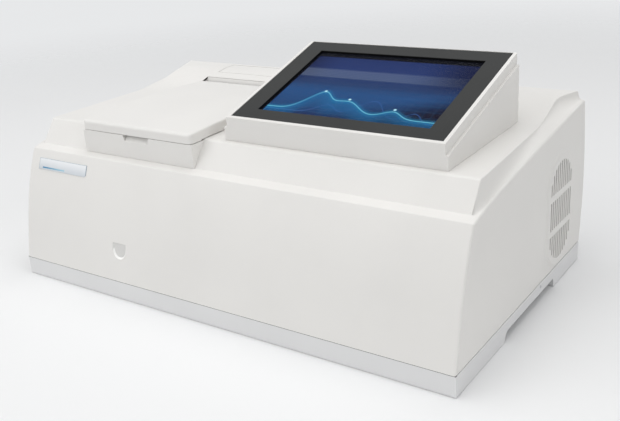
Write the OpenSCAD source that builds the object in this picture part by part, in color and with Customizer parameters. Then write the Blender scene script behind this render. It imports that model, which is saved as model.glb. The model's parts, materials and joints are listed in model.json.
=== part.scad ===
// Benchtop fluorometer with a hinged sample lid and a sloped touch display.
// X runs to the right, Y to the back, Z up. The origin is on the bench, under the middle of the case.
// Depths named _t are measured back from the front plane of the case.

/* [Case] */
// Width of the case
body_w = 600; // [585:1:620]
// Depth of the case, front plane to the fullest part of the rear
body_d = 348; // [344:1:356]
// Height of the base under the case
plinth_h = 23.5; // [22:0.5:26]
// Height of the front edge of the ledge that runs round the case
ledge_front_z = 158.5; // [156:0.5:161]
// Rise of the ledge from front to rear
ledge_rise = 40; // [38:0.5:42]
// Lean of the front panel, as depth per height
front_lean = 0.19; // [0.17:0.01:0.21]
// Extra lean gathered at the top of the front panel
front_bow = 13.35; // [11:0.05:15]
// Wall of the case
wall = 4; // [3:0.5:5]
// Bulge of the rear edge
rear_bulge = 10; // [6:0.5:12]

/* [Top cover] */
// Wall of the top cover
cover_wall = 3; // [2.5:0.5:4]
// Height of the top of the steep front slope
slope_top_z = 189.7; // [188:0.1:191]
// Rise of the raised rear of the cover
rear_rise = 15.2; // [12:0.2:18]
// Greatest inset of the cover's side edges
waist = 12; // [6:1:14]

/* [Sample compartment] */
// Width of the sample lid
lid_w = 173; // [165:1:178]
// Distance of the lid from the left side of the case
lid_from_left = 89; // [86:1:94]
// Crown of the lid above its rear edge
lid_crown = 4; // [2:0.5:5]
// Wall of the lid
lid_wall = 2.5; // [2:0.5:3]
// Opening angle of the lid that the slot behind it allows
lid_open = 78; // [60:1:80]
// Inside size of the square cell well
cell_w = 12.6; // [12.6:0.1:13]

/* [Console] */
// Tilt of the display
console_tilt = 16.4; // [15:0.1:17]
// Width of the window in the dark panel
window_w = 207.4; // [200:0.1:210]
// Length of the window in the dark panel
window_l = 135.2; // [130:0.1:138]
// Dark panel to the left of the window
border_left = 23.6; // [20:0.1:26]
// Dark panel to the right of the window
border_right = 23; // [20:0.1:26]
// Dark panel below the window
border_low = 18.9; // [16:0.1:22]
// Dark panel above the window
border_top = 19.9; // [16:0.1:22]
// Thickness of the display frame
frame_h = 10.8; // [9:0.2:12]

/* [Side grilles] */
// Length of the recess, front to back
recess_w = 76; // [74:1:80]
// Height of the recess
recess_h = 130; // [128:1:134]
// Slots across each grille
slot_count = 11; // [9:1:11]
// Width of one slot
slot_w = 3.2; // [2.6:0.1:3.4]

/* [Fit] */
// Gap between seated panels
seat = 0.2; // [0.1:0.05:0.3]
// Gap round pieces that drop into a pocket
pocket_gap = 0.3; // [0.2:0.05:0.4]
// Radial clearance of running shafts
run_gap = 0.08; // [0.05:0.01:0.1]

/* [Hidden] */
$fn = 64;
eps = 0.01;
cut = 2;

// Case outline
half_w = body_w / 2;
y0 = -body_d / 2;
curve_n = 24;
bend_n = 6;
ledge_t0 = 39;
ledge_power = 0.75;
rear_t0 = body_d - rear_bulge;
rear_low_z = 5;
rear_high_z = 200;
panel_sink = 7;
panel_h = 2;
panel_t = rear_t0 - panel_sink;
panel_out = panel_t + panel_h;
flange_t = panel_t - wall;
opening_side = 20;
opening_low = 9;
opening_rise = 28;
opening_x = half_w - opening_side;
opening_z0 = plinth_h + opening_low;
opening_z1 = ledge_front_z + opening_rise;
rebate = 8.5;
rebate_low = 6.5;
roof_side = 30;
roof_back = 12;
roof_x = half_w - roof_side;
roof_t0 = 60;
roof_t1 = flange_t - roof_back;

// Base
tray_inset = 1;
tray_z0 = 1;
tray_top = plinth_h - seat;
tray_floor = 15;
arch_t0 = 115;
arch_back = 93;
arch_t1 = body_d - arch_back;
arch_z = 11;
arch_r = 8;
arch_foot = 2;
arch_drop = 3;
foot_r = 18;
foot_h = 4;
foot_bore_r = 6;
foot_bore_h = 1.5;
foot_side = 40;
foot_front = 45;
foot_back = 50;
foot_x = half_w - foot_side;
foot_ts = [foot_front, body_d - foot_back];

// Top cover outline
ledge_w = 8;
cover_half = half_w - ledge_w;
inner_drop = 30;
lip = 2.5;
slope_low_t = 50;
slope_top_t = 70.4;
cover_drift = 0.0131;
rise_back = 106;
rise_end = 20;
rise_t0 = rear_t0 - rise_back;
rise_t1 = rear_t0 - rise_end;
cover_t1 = rear_t0 - 1;
waist_t0 = 75;
waist_back = 38;
waist_t1 = rear_t0 - waist_back;
waist_power = 1.3;
cove_n = 4;
cove_start = 2;
cove_top = 1.2;
cove_in = 1.5;
cove_margin = 1.5;
cove_land = 0.4;
slope_bend_r = 5;
slope_low_z = ledge_z(slope_low_t);
slope_cot = (slope_top_t - slope_low_t) / (slope_top_z - slope_low_z);
slope_step = cover_wall * sqrt(1 + pow(slope_cot, 2));
slope_angle = atan(1 / slope_cot);
slope_bend_t = slope_top_t + slope_bend_r * tan(slope_angle / 2);

// Lid and slot
lid_x0 = -half_w + lid_from_left;
lid_x1 = lid_x0 + lid_w;
lid_mid_x = (lid_x0 + lid_x1) / 2;
lid_t0 = 48.5;
lid_back = 72;
lid_t1 = rear_t0 - lid_back;
lid_rise = 9.6;
lid_rear_z = slope_top_z + lid_rise;
lid_low_z = slope_top_z - 0.4;
lid_clear = 0.6;
lid_edge_r = 6;
lid_corner_r = 5;
lid_bend = 4;
boss_r = 4;
boss_in = 12;
boss_front = 13;
boss_back = 14;
liner_gap = 1;
liner_h = 2;
crown_t0 = 20;
slot_front = 23;
slot_back = 15;
slot_t0 = lid_t1 - slot_front;
slot_t1 = lid_t1 + slot_back;
slot_depth = 17.7;
slot_z = slope_top_z - slot_depth;
slot_side = 1;
pin_back = 10;
pin_rise = 14;
pin_t = lid_t1 - pin_back;
pin_z = slot_z + pin_rise;
pin_r = 2.5;
pin_l = 30;
arm_w = 10;
arm_r = 6;
bracket_w = 6;
hinge_side = 34;
hinge_xs = [lid_x0 + hinge_side, lid_x1 - hinge_side];
hinge_gap = 0.6;
pin_fit = 0.02;

// Sample well and cell holder
well_gap = 1;
well_wall = 3;
well_side = 10;
well_front = 6.6;
well_back = 32;
well_x0 = lid_x0 + well_side;
well_x1 = lid_x1 - well_side;
well_t0 = slope_top_t + well_front;
well_t1 = lid_t1 - well_back;
rim = 3.5;
rim_h = 1.5;
seal_out = 6;
seal_w = 5;
base_z = 44;
base_h = 8;
deck_z = base_z + base_h;
axis_z = 104;
cell_back = 79;
cell_t = well_t1 - cell_back;
lens_r = 10;
lens_h = 6;
lens_fit = 0.05;
lens_curve_r = 18;
mount_r = 14;
mount_fit = 0.1;
rim_root = 4;
cell_tower = 36;
cell_base = 90;
cell_base_l = 70;
cell_base_h = 6;
cell_up = 24;
cell_down = 15;
cell_port_r = 5;

// Compartment front and finger notch
notch_w = 42;
notch_h = 8;
notch_d = 8.5;
notch_floor = 0.62;
notch_from_left = 87;
notch_x = lid_x0 + notch_from_left;

// Access cover
access_l = 33;
access_back = 8;
access_left = 8;
access_right = 2;
access_t1 = cover_t1 - access_back;
access_t0 = access_t1 - access_l;
access_x0 = lid_x0 + access_left;
access_x1 = lid_x1 - access_right;
access_h = 1.6;
access_lip = 4;

// Console
console_gap = 25.5;
frame_side = 7.9;
skirt_more = 15;
bezel_w = window_w + border_left + border_right;
bezel_l = window_l + border_low + border_top;
skirt_x0 = lid_x1 + console_gap;
bezel_x0 = skirt_x0 + frame_side;
skirt_w = bezel_w + skirt_more;
cable_x = skirt_x0 + 90;
cable_w = 70;
cable_t = 120;
cable_l = 50;
frame_trim = 4;
frame_over = 1.5;
frame_lift = 0.4;
bezel_t0 = 81.2;
bezel_z0 = 217;
bezel_h = 2;
skirt_t0 = 77;
skirt_t1 = bezel_t0 + bezel_l * cos(console_tilt) - 1;
skirt_wall = 3;
lcd_margin = 5.5;
lcd_h = 6;
glass_h = 0.7;
glass_drop = 3;
board_h = 1.6;
panel_fit = 0.05;
board_stand = 4;
board_edge = 20;
post = 8;
post_in = 35;
chip_u = 70;
chip_v = 50;
chip_w = 40;
chip_l = 30;
chip_h = 4;

// Side grilles
grille_from_rear = 75;
grille_t = rear_t0 - grille_from_rear;
grille_z = 93;
grille_back = 3;
grille_flange = 4;
slot_field_w = 64;
slot_field_h = 112;
slot_bar = 7;
grille_skin = 2.4;

// Front plate and port
plate_w = 85;
plate_h = 14;
plate_t = 1.2;
plate_from_left = 59.5;
plate_corner = 3;
plate_x = -half_w + plate_from_left;
plate_z = 142;
port_from_left = 166;
port_sunk = 2.6;
port_deep = 2.2;
port_x = -half_w + port_from_left;
port_z = 60.5;
port_r = 10.5;
port_up = 8.5;

// Optics layout
deck_side = 6;
deck_more = 4;
deck_back = 16;
deck_x0 = well_x0 - deck_side;
deck_t0 = 58;
deck_t1 = rear_t0 - deck_back;
beam_from_rear = 70;
beam_t = rear_t0 - beam_from_rear;
fan = 80;
fan_t = 25;
fan_gap = 3;
fan_x1 = half_w - wall - fan_gap;
fan_x0 = fan_x1 - fan_t;
lamp_gap = 26.5;
lamp_w = 100;
lamp_x1 = fan_x0 - lamp_gap;
lamp_x0 = lamp_x1 - lamp_w;
lamp_front = 46;
lamp_rear = 48;
lamp_t0 = beam_t - lamp_front;
lamp_t1 = beam_t + lamp_rear;
lamp_top = 160;
lamp_port_r = 12;
lamp_off = 8;
lamp_slot_n = 7;
lamp_slot_side = 14;
lamp_slot_pitch = 10;
lamp_slot_w = 5;
lamp_slot_z0 = 72;
lamp_slot_h = 56;
bowl_r = 32;
bowl_skin = 2.5;
bowl_edge = 65;
bowl_post_w = 12;
bowl_post_t = 5;
bulb_r = 10;
bulb_half = 34;
bulb_stem_r = 5;
bulb_cap = 12;
bulb_cap_r = 7;
bulb_base_r = 8;
shutter_gap = 20;
ex_half = 52;
ex_t0 = beam_t - ex_half;
ex_t1 = beam_t + ex_half;
ex_x1 = lamp_x0 - shutter_gap;
em_gap = 9.5;
em_x0 = well_x1 + em_gap;
em_x1 = ex_x1;
em_t0 = 84;
box_gap = 10;
em_t1 = ex_t0 - box_gap;
ex_x0 = em_x0;
box_wall = 4;
box_top = 150;
lid_plate = 3;
port_bore = 8;
fold_half = 25.5;
fold_wall = 3;
tube_wall = 3;
fold_gap = 6;
fold_l = 52;
fold_high = 26;
fold_room = 22;
fold_t0 = well_t1 + well_wall + fold_gap;
fold_t1 = fold_t0 + fold_l;
motor_w = 42;
motor_h = 20;
motor_skin = 2;
shaft_end = 3;
table_gap = 2;
table_r = 22;
table_h = 6;
shaft_r = 2.5;
grating_w = 32;
grating_h = 40;
grating_t = 8;
mirror_t = 10;
mirror_w = 40;
mirror_h = 76;
mirror_face_r = 120;
mirror_side = 24;
mirror_front = 30;
table_off = 15;
table_back = 58;
pmt_off = 18;
pmt_l = 76;
pmt_half = 20;
pmt_r = 15;
pmt_in = 6;
pmt_base = 12;
isolator_r = 10;
isolator_pin_r = 3;
isolator_bore_r = 3.2;
isolator_side = 14;

// Shutter
shutter_front = 24;
shutter_rise = 30;
shutter_t = beam_t - shutter_front;
shutter_z = axis_z + shutter_rise;
blade_gap = 15;
blade_x = lamp_x0 - blade_gap;
blade_h = 1.5;
blade_r = 15;
blade_arm = 8;
blade_hub_r = 6;
pivot_r = 2;
coil_r = 11;
coil_gap = 4;

// Fan
fan_hub_r = 15;
fan_bore_r = 38;
fan_blade_r = 36.5;
fan_z = 92;
fan_hole = 35.75;
fan_hole_r = 2.2;
fan_plate = 4;

// Rear connectors
socket_side = 38;
inlet_x = half_w - socket_side;
inlet_z = 60;
inlet_w = 27;
inlet_h = 20;
inlet_deep = 21;
rocker_z = 98;
switch_w = 20;
switch_h = 27;
switch_deep = 18;
port_fit = 0.2;
usb_side = 40;
usb_x = -half_w + usb_side;
usb_z = 62;
usb_w = 12;
usb_h = 11;
serial_z = 92;
serial_w = 18;
serial_h = 10;
port_room = 0.5;
vent_n = 16;
vent_pitch = 7;
vent_w = 3.5;
vent_z0 = 92;
vent_h = 40;
vent_xs = [-170, 110];

// Height of the ledge at depth t
function ledge_z(t) =
    ledge_front_z + ledge_rise * pow(max(0, t - ledge_t0) / (rear_t0 - ledge_t0), ledge_power);
// Share of the front panel's height at z
function front_share(z) = (z - plinth_h) / (ledge_front_z - plinth_h);
// Depth of the front panel at height z
function front_t(z) = front_lean * (z - plinth_h) + front_bow * pow(max(0, front_share(z)), 3)
    + (ledge_t0 - front_lean * (ledge_front_z - plinth_h) - front_bow) * max(0, front_share(z));
// Lean of the front panel at height z, in degrees
function front_angle(z) = atan2(front_t(z + 1) - front_t(z - 1), 2);
// Depth of the rear edge at height z
function rear_t(z) =
    rear_t0 + rear_bulge * max(0, sin(180 * (z - rear_low_z) / (rear_high_z - rear_low_z)));
// Smooth step from 0 to 1
function ease(s) = (1 - cos(180 * min(1, max(0, s)))) / 2;
// Height of the top cover at depth t, behind its steep front slope
function cover_z(t) = slope_top_z + cover_drift * (t - slope_top_t)
    + rear_rise * ease((t - rise_t0) / (rise_t1 - rise_t0));
// Half width of the top cover at depth t
function cover_x(t) = cover_half - (t < waist_t1
    ? waist * max(0, t - waist_t0) / (waist_t1 - waist_t0)
    : waist * (1 - pow(min(1, (t - waist_t1) / (cover_t1 - waist_t1)), waist_power)));
// Height of the lid's top at depth t
function lid_z(t) = lid_rear_z + lid_crown * sin(180 * (t - crown_t0) / (lid_t1 - crown_t0));
// Steps from a to b
function steps(a, b, n = curve_n) = [for (i = [0:n]) a + (b - a) * i / n];

// Slab with a side outline of [depth, height] points, from x0 to x1
module side_slab(outline, x0, x1) {
    translate([x0, y0, 0])
        rotate([90, 0, 90])
            linear_extrude(x1 - x0) polygon(outline);
}
// Box between two corners given as [x, depth, z]
module block(a, b) {
    translate([a[0], y0 + a[1], a[2]]) cube([b[0] - a[0], b[1] - a[1], b[2] - a[2]]);
}
// Cylinder along X, from x0 to x1
module rod_x(x0, x1, t, z, r) {
    translate([x0, y0 + t, z]) rotate([0, 90, 0]) cylinder(r = r, h = x1 - x0);
}
// Cylinder along Y, from depth t0 to t1
module rod_y(x, t0, t1, z, r) {
    translate([x, y0 + t0, z]) rotate([-90, 0, 0]) cylinder(r = r, h = t1 - t0);
}
// Cylinder along Z, from z0 to z1
module rod_z(x, t, z0, z1, r) {
    translate([x, y0 + t, z0]) cylinder(r = r, h = z1 - z0);
}
// Children set on the front panel at x and height z, with Y running up the panel and Z out of it
module on_front(x, z) {
    translate([x, y0 + front_t(z), z]) rotate([90 - front_angle(z), 0, 0]) children();
}
// Children set on the display, with X across, Y up the slope and Z out of it
module on_display() {
    translate([bezel_x0, y0 + bezel_t0, bezel_z0]) rotate([console_tilt, 0, 0]) children();
}
// Flat box on the display, from [u, v] with a size, between two depths below the panel face
module display_box(u, v, w, l, deep, shallow) {
    on_display() translate([u, v, -deep]) cube([w, l, deep - shallow]);
}
// Band that follows the top cover between two heights above it
module cover_band(x0, x1, t0, t1, low, high) {
    side_slab(concat(
        [for (t = steps(t0, t1)) [t, cover_z(t) + low]],
        [for (t = steps(t1, t0)) [t, cover_z(t) + high]]), x0, x1);
}
// Upright oval of width w and height h
module oval(w, h) {
    circle(d = w);
    for (s = [-1, 1]) translate([0, s * (h - w) / 2]) circle(d = w);
    square([w, h - w], center = true);
}

// ---- Case ----
function case_outline(w, low) = concat(
    [for (z = steps(low, ledge_front_z - w)) [front_t(z) + w, z]],
    [for (t = steps(ledge_t0 + w + 1, w > 0 ? flange_t : rear_t0)) [t, ledge_z(t) - w]],
    w > 0 ? [[flange_t, low]] : [for (z = steps(ledge_z(rear_t0) - 1, low)) [rear_t(z), z]]);

module grille_hole(w, h, x0, x1) {
    translate([x0, y0 + grille_t, grille_z]) rotate([90, 0, 90]) linear_extrude(x1 - x0) oval(w, h);
}
module port_outline(r, up) {
    circle(r = r);
    translate([-r, 0]) square([2 * r, up]);
}

module housing() {
    color("#eae8e3") difference() {
        side_slab(case_outline(0, plinth_h), -half_w, half_w);
        side_slab(case_outline(wall, plinth_h - cut), -half_w + wall, half_w - wall);
        // Opening under the top cover
        block([-roof_x, roof_t0, box_top], [roof_x, roof_t1, ledge_front_z + ledge_rise + cut]);
        // Opening and rebate for the rear panel
        block([-opening_x, flange_t - cut, opening_z0], [opening_x, body_d + cut, opening_z1]);
        block([-opening_x - rebate, panel_t, opening_z0 - rebate_low],
            [opening_x + rebate, body_d + cut, opening_z1 + rebate]);
        for (s = [-1, 1]) grille_hole(recess_w, recess_h, s > 0 ? half_w - wall - cut : -half_w - cut,
            s > 0 ? half_w + cut : -half_w + wall + cut);
        on_front(port_x, port_z)
            translate([0, 0, -3 * wall]) linear_extrude(4 * wall) port_outline(port_r, port_up);
        on_front(plate_x, plate_z) translate([-plate_w / 2 - seat, -plate_h / 2 - seat, -plate_t / 2])
            cube([plate_w + 2 * seat, plate_h + 2 * seat, 2 * plate_t]);
    }
}

module nameplate() {
    color("#f4f5f5") on_front(plate_x, plate_z) translate([0, 0, -plate_t / 2])
        linear_extrude(plate_t) difference() {
            translate([-plate_w / 2, -plate_h / 2]) square([plate_w, plate_h]);
            // Rounded lower right corner
            translate([plate_w / 2 - plate_corner, -plate_h / 2 + plate_corner]) difference() {
                translate([0, -plate_corner]) square(plate_corner);
                circle(r = plate_corner);
            }
        }
}

module front_port_plug() {
    color("#b8b8b6") on_front(port_x, port_z) translate([0, 0, -wall - port_deep])
        linear_extrude(wall + port_deep - port_sunk) port_outline(port_r - pocket_gap, port_up - pocket_gap);
}

module base_tray() {
    in_x = half_w - tray_inset;
    color("#dfe2e4") difference() {
        block([-in_x, tray_inset, tray_z0], [in_x, rear_t(plinth_h) - tray_inset, tray_top]);
        block([-in_x + wall, tray_inset + wall, tray_floor],
            [in_x - wall, rear_t(plinth_h) - tray_inset - wall, plinth_h + cut]);
        // Raised middle between the front and rear runners
        side_slab(concat([[arch_t0, -cut], [arch_t0, tray_z0]],
            [for (a = steps(180, 90, bend_n))
                [arch_t0 + arch_r + arch_r * cos(a), arch_z - arch_r + arch_r * sin(a)]],
            [[arch_t1 - arch_foot, arch_z], [arch_t1, arch_z - arch_drop], [arch_t1, -cut]]),
            -half_w, half_w);
        for (s = [-1, 1], t = foot_ts) rod_z(s * foot_x, t, -cut, foot_h, foot_r + pocket_gap);
    }
}

module rubber_feet() {
    color("#2c2c2e") for (s = [-1, 1], t = foot_ts) difference() {
        rod_z(s * foot_x, t, 0, foot_h, foot_r);
        rod_z(s * foot_x, t, -eps, foot_bore_h, foot_bore_r);
    }
}

// Opening through the rear panel round a connector of width w and height h
module panel_opening(x, z, w, h) {
    block([x - w / 2 - port_fit, panel_t - cut, z - h / 2 - port_fit],
        [x + w / 2 + port_fit, panel_out + cut, z + h / 2 + port_fit]);
}
module rear_panel() {
    grow = rebate - pocket_gap;
    grow_low = rebate_low - pocket_gap;
    color("#c9cbcc") difference() {
        block([-opening_x - grow, panel_t, opening_z0 - grow_low],
            [opening_x + grow, panel_out, opening_z1 + grow]);
        panel_opening(inlet_x, inlet_z, inlet_w, inlet_h);
        panel_opening(inlet_x, rocker_z, switch_w, switch_h);
        panel_opening(usb_x, usb_z, usb_w + port_room, usb_h + port_room);
        panel_opening(usb_x, serial_z, serial_w + port_room, serial_h + port_room);
        // Air slots behind the lamp and the optics
        for (i = [0:vent_n - 1], x = vent_xs) block([x + vent_pitch * i, panel_t - cut, vent_z0],
            [x + vent_pitch * i + vent_w, panel_out + cut, vent_z0 + vent_h]);
    }
}

module grille(side) {
    face = half_w - grille_back;
    back = half_w - wall - grille_skin;
    pitch = slot_field_w / slot_count;
    group_h = (slot_field_h - 2 * slot_bar) / 3;
    color("#d6d4d0") mirror([side > 0 ? 0 : 1, 0, 0]) difference() {
        union() {
            grille_hole(recess_w - 2 * pocket_gap, recess_h - 2 * pocket_gap, back, face);
            grille_hole(recess_w + 2 * grille_flange, recess_h + 2 * grille_flange, back,
                half_w - wall - seat);
        }
        // Three groups of upright slots inside an oval field
        intersection() {
            grille_hole(slot_field_w, slot_field_h, back - cut, half_w);
            for (i = [0:slot_count - 1], g = [-1:1])
                translate([back - cut, y0 + grille_t - slot_field_w / 2 + (i + 0.5) * pitch - slot_w / 2,
                    grille_z + g * (group_h + slot_bar) - group_h / 2])
                    cube([wall + 4 * cut, slot_w, group_h]);
        }
    }
}
module side_grille_right() { grille(1); }
module side_grille_left() { grille(-1); }

// ---- Top cover ----
function cover_outline(w) = concat(
    w > 0
        ? [[slope_low_t + slope_step - inner_drop * slope_cot, slope_low_z - inner_drop],
            [slope_top_t + slope_step - w * slope_cot, slope_top_z - w]]
        : concat([[slope_low_t, slope_low_z + seat]],
            [for (a = steps(slope_angle, 0, bend_n)) [slope_bend_t - slope_bend_r * sin(a),
                slope_top_z - slope_bend_r + slope_bend_r * cos(a)]]),
    [for (t = steps(slope_top_t + slope_step + slope_bend_r, cover_t1 - w, 2 * curve_n)) [t, cover_z(t) - w]],
    w > 0
        ? [[cover_t1 - w, slope_low_z - inner_drop]]
        : [for (t = steps(cover_t1, slope_low_t + 1)) [t, ledge_z(t) + seat]]);
module cover_plan(w, low, high) {
    ts = steps(slope_low_t - 1, cover_t1);
    outline = concat([for (t = ts) [cover_x(t) - w, t]],
        [for (i = [len(ts) - 1:-1:0]) [w - cover_x(ts[i]), ts[i]]]);
    translate([0, y0, low]) linear_extrude(high - low) polygon(outline);
}

// Height of the cover's outer face at depth t, on the slope and behind it
function cover_top(t) = t < slope_top_t ? slope_low_z + (t - slope_low_t) / slope_cot : cover_z(t);
// Section of the concave foot at depth t, from the cover's side wall out to the ledge's rim
function cove_ring(t) =
    let (x = cover_x(t), out = half_w - cove_margin, high = cover_top(t) - cove_top, low = ledge_z(t) + seat)
    concat([[x - cove_in, y0 + t, low], [x - cove_in, y0 + t, high]],
        [for (a = steps(0, 90, cove_n))
            [out - (out - x) * cos(a), y0 + t, high - (high - low - cove_land) * sin(a)]],
        [[out, y0 + t, low]]);
// Closed loft through rings of n points each
module loft(rings, n) {
    last = len(rings) - 1;
    polyhedron([for (r = rings, p = r) p], concat(
        [[for (j = [0:n - 1]) j]],
        [for (i = [0:last - 1], j = [0:n - 1]) let (k = (j + 1) % n)
            [i * n + k, i * n + j, (i + 1) * n + j, (i + 1) * n + k]],
        [[for (j = [n - 1:-1:0]) last * n + j]]));
}
module side_cove() {
    ts = concat(steps(slope_low_t + cove_start, slope_top_t, 2), steps(waist_t0, cover_t1));
    rings = [for (t = ts) cove_ring(t)];
    loft(rings, len(rings[0]));
}

module top_cover() {
    top = slope_top_z + rear_rise + cut + inner_drop;
    color("#eeece8") difference() {
        union() {
            difference() {
                intersection() {
                    side_slab(cover_outline(0), -half_w, half_w);
                    cover_plan(0, box_top, top);
                }
                intersection() {
                    side_slab(cover_outline(cover_wall), -half_w, half_w);
                    cover_plan(cover_wall, slope_low_z - inner_drop, top);
                }
            }
            side_cove();
            mirror([1, 0, 0]) side_cove();
            // Trough under the slot behind the lid
            side_slab(concat([[slot_t1 + lip, slot_z - lip], [slot_t0 - lip, slot_z - lip]],
                [for (t = steps(slot_t0 - lip, slot_t1 + lip, bend_n)) [t, cover_z(t) - 1]]),
                lid_x0 - slot_side - lip, lid_x1 + slot_side + lip);
        }
        block([lid_x0 - slot_side, slot_t0, slot_z], [lid_x1 + slot_side, slot_t1, top]);
        // Opening of the sample well
        block([well_x0 - well_wall - well_gap, well_t0 - well_wall - well_gap, box_top],
            [well_x1 + well_wall + well_gap, well_t1 + well_wall + well_gap, top]);
        // Stepped opening under the access cover
        cover_band(access_x0 - pocket_gap, access_x1 + pocket_gap, access_t0 - pocket_gap,
            access_t1 + pocket_gap, -access_h - seat / 2, cut);
        block([access_x0 + access_lip, access_t0 + access_lip, box_top],
            [access_x1 - access_lip, access_t1 - access_lip, top]);
        // Cable opening under the console
        block([cable_x, cable_t, box_top], [cable_x + cable_w, cable_t + cable_l, top]);
    }
}

module rear_access_cover() {
    color("#eeece8") cover_band(access_x0, access_x1, access_t0, access_t1, -access_h, 0);
}

// ---- Sample compartment ----
module compartment_front() {
    low_z = ledge_z(lid_t0) + seat;
    top_z = lid_low_z - lid_clear;
    back_t = slope_low_t + (top_z - slope_low_z) * slope_cot - seat * 2;
    foot_t = slope_low_t + seat * slope_cot - seat * 2;
    notch_low = top_z - notch_h;
    color("#e6e4e0") difference() {
        side_slab([[lid_t0, low_z], [foot_t, slope_low_z + seat], [back_t, top_z], [lid_t0, top_z]],
            lid_x0, lid_x1);
        // Scoop for the fingers under the lid's lip
        side_slab([[lid_t0 - cut, notch_low], [lid_t0, notch_low],
            [lid_t0 + notch_d, top_z - notch_h * notch_floor], [lid_t0 + notch_d, top_z + cut],
            [lid_t0 - cut, top_z + cut]], notch_x - notch_w / 2, notch_x + notch_w / 2);
    }
}

function lid_outline(w) = concat(
    [[lid_t0 + w, w > 0 ? lid_low_z - cut : lid_low_z]],
    [for (a = steps(180, 90, bend_n)) [lid_t0 + lid_edge_r + (lid_edge_r - w) * cos(a),
        lid_z(lid_t0 + lid_edge_r) - lid_edge_r + (lid_edge_r - w) * sin(a)]],
    [for (t = steps(lid_t0 + lid_edge_r + lid_bend, lid_t1 - w)) [t, lid_z(t) - w]],
    w > 0
        ? [[lid_t1 - w, lid_low_z - cut]]
        : concat([for (t = steps(lid_t1, slope_top_t)) [t, cover_z(t) + lid_clear]],
            [[slope_top_t - lid_bend, lid_low_z]]));

// Lid's outline in plan, w inside it, with round corners at the front
module lid_plan(w) {
    r = lid_corner_r;
    translate([0, y0, lid_low_z - lid_bend]) linear_extrude(lid_rear_z + lid_bend - lid_low_z + 2 * lid_crown)
        polygon(concat(
            [for (a = steps(180, 270, bend_n))
                [lid_x0 + r + (r - w) * cos(a), lid_t0 + r + (r - w) * sin(a)]],
            [for (a = steps(270, 360, bend_n))
                [lid_x1 - r + (r - w) * cos(a), lid_t0 + r + (r - w) * sin(a)]],
            [[lid_x1 - w, lid_t1 + cut], [lid_x0 + w, lid_t1 + cut]]));
}

module sample_lid() {
    color("#f0eeea") difference() {
        intersection() {
            side_slab(lid_outline(0), lid_x0, lid_x1);
            lid_plan(0);
        }
        intersection() {
            side_slab(lid_outline(lid_wall), lid_x0 + lid_wall, lid_x1 - lid_wall);
            lid_plan(lid_wall);
        }
    }
    // Bosses that carry the liner and the hinge arms
    color("#f0eeea")
        for (x = [well_x0 + boss_in, well_x1 - boss_in], t = [well_t0 + boss_front, well_t1 - boss_back])
        rod_z(x, t, liner_z1(), lid_z(t) - lid_wall / 2, boss_r);
}
function liner_z1() = lid_z(lid_t0 + lid_edge_r) - lid_wall - liner_gap;
function liner_z0() = liner_z1() - liner_h;

module lid_liner() {
    color("#232427") block([well_x0 - seal_out, well_t0 - seal_out, liner_z0()],
        [well_x1 + seal_out, well_t1 + seal_out, liner_z1()]);
}

module lid_gasket() {
    t0 = well_t0 - seal_out;
    t1 = well_t1 + seal_out;
    color("#1b1b1c") difference() {
        side_slab(concat([for (t = steps(t0, t1)) [t, cover_z(t) + rim_h + pocket_gap]],
            [[t1, liner_z0()], [t0, liner_z0()]]), well_x0 - seal_out, well_x1 + seal_out);
        block([well_x0 - seal_out + seal_w, t0 + seal_w, box_top],
            [well_x1 + seal_out - seal_w, t1 - seal_w, lid_rear_z]);
    }
}

module lid_hinge_arms() {
    color("#8f9296") for (x = hinge_xs) difference() {
        union() {
            rod_x(x - arm_w / 2, x + arm_w / 2, pin_t, pin_z, arm_r);
            block([x - arm_w / 2, pin_t - arm_r, pin_z],
                [x + arm_w / 2, pin_t + arm_r, lid_z(pin_t + arm_r) - lid_wall]);
        }
        rod_x(x - arm_w, x + arm_w, pin_t, pin_z, pin_r + run_gap);
    }
}

module hinge_pins() {
    color("#b9bcc0") for (x = hinge_xs) rod_x(x - pin_l / 2, x + pin_l / 2, pin_t, pin_z, pin_r);
}

module hinge_brackets() {
    color("#8f9296") for (x = hinge_xs, s = [-1, 1]) {
        a = s > 0 ? x + arm_w / 2 + hinge_gap : x - arm_w / 2 - hinge_gap - bracket_w;
        difference() {
            union() {
                rod_x(a, a + bracket_w, pin_t, pin_z, arm_r);
                block([a, pin_t - arm_r, slot_z], [a + bracket_w, pin_t + arm_r, pin_z]);
            }
            rod_x(a - 1, a + bracket_w + 1, pin_t, pin_z, pin_r + pin_fit);
        }
    }
}

module sample_well() {
    color("#202124") difference() {
        union() {
            block([well_x0 - well_wall, well_t0 - well_wall, deck_z],
                [well_x1 + well_wall, well_t1 + well_wall, slope_top_z]);
            cover_band(well_x0 - well_wall, well_x1 + well_wall, well_t0 - well_wall,
                well_t1 + well_wall, -rim_root, rim_h);
            cover_band(well_x0 - well_wall - rim, well_x1 + well_wall + rim, well_t0 - well_wall - rim + 1,
                well_t1 + well_wall + rim - 1, seat, rim_h);
        }
        block([well_x0, well_t0, deck_z + well_wall], [well_x1, well_t1, lid_rear_z + cut]);
        rod_y(lid_mid_x, well_t1 - cut, well_t1 + well_wall + cut, axis_z, mount_r + mount_fit);
        rod_x(well_x1 - cut, well_x1 + well_wall + cut, cell_t, axis_z, mount_r + mount_fit);
    }
}

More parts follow.
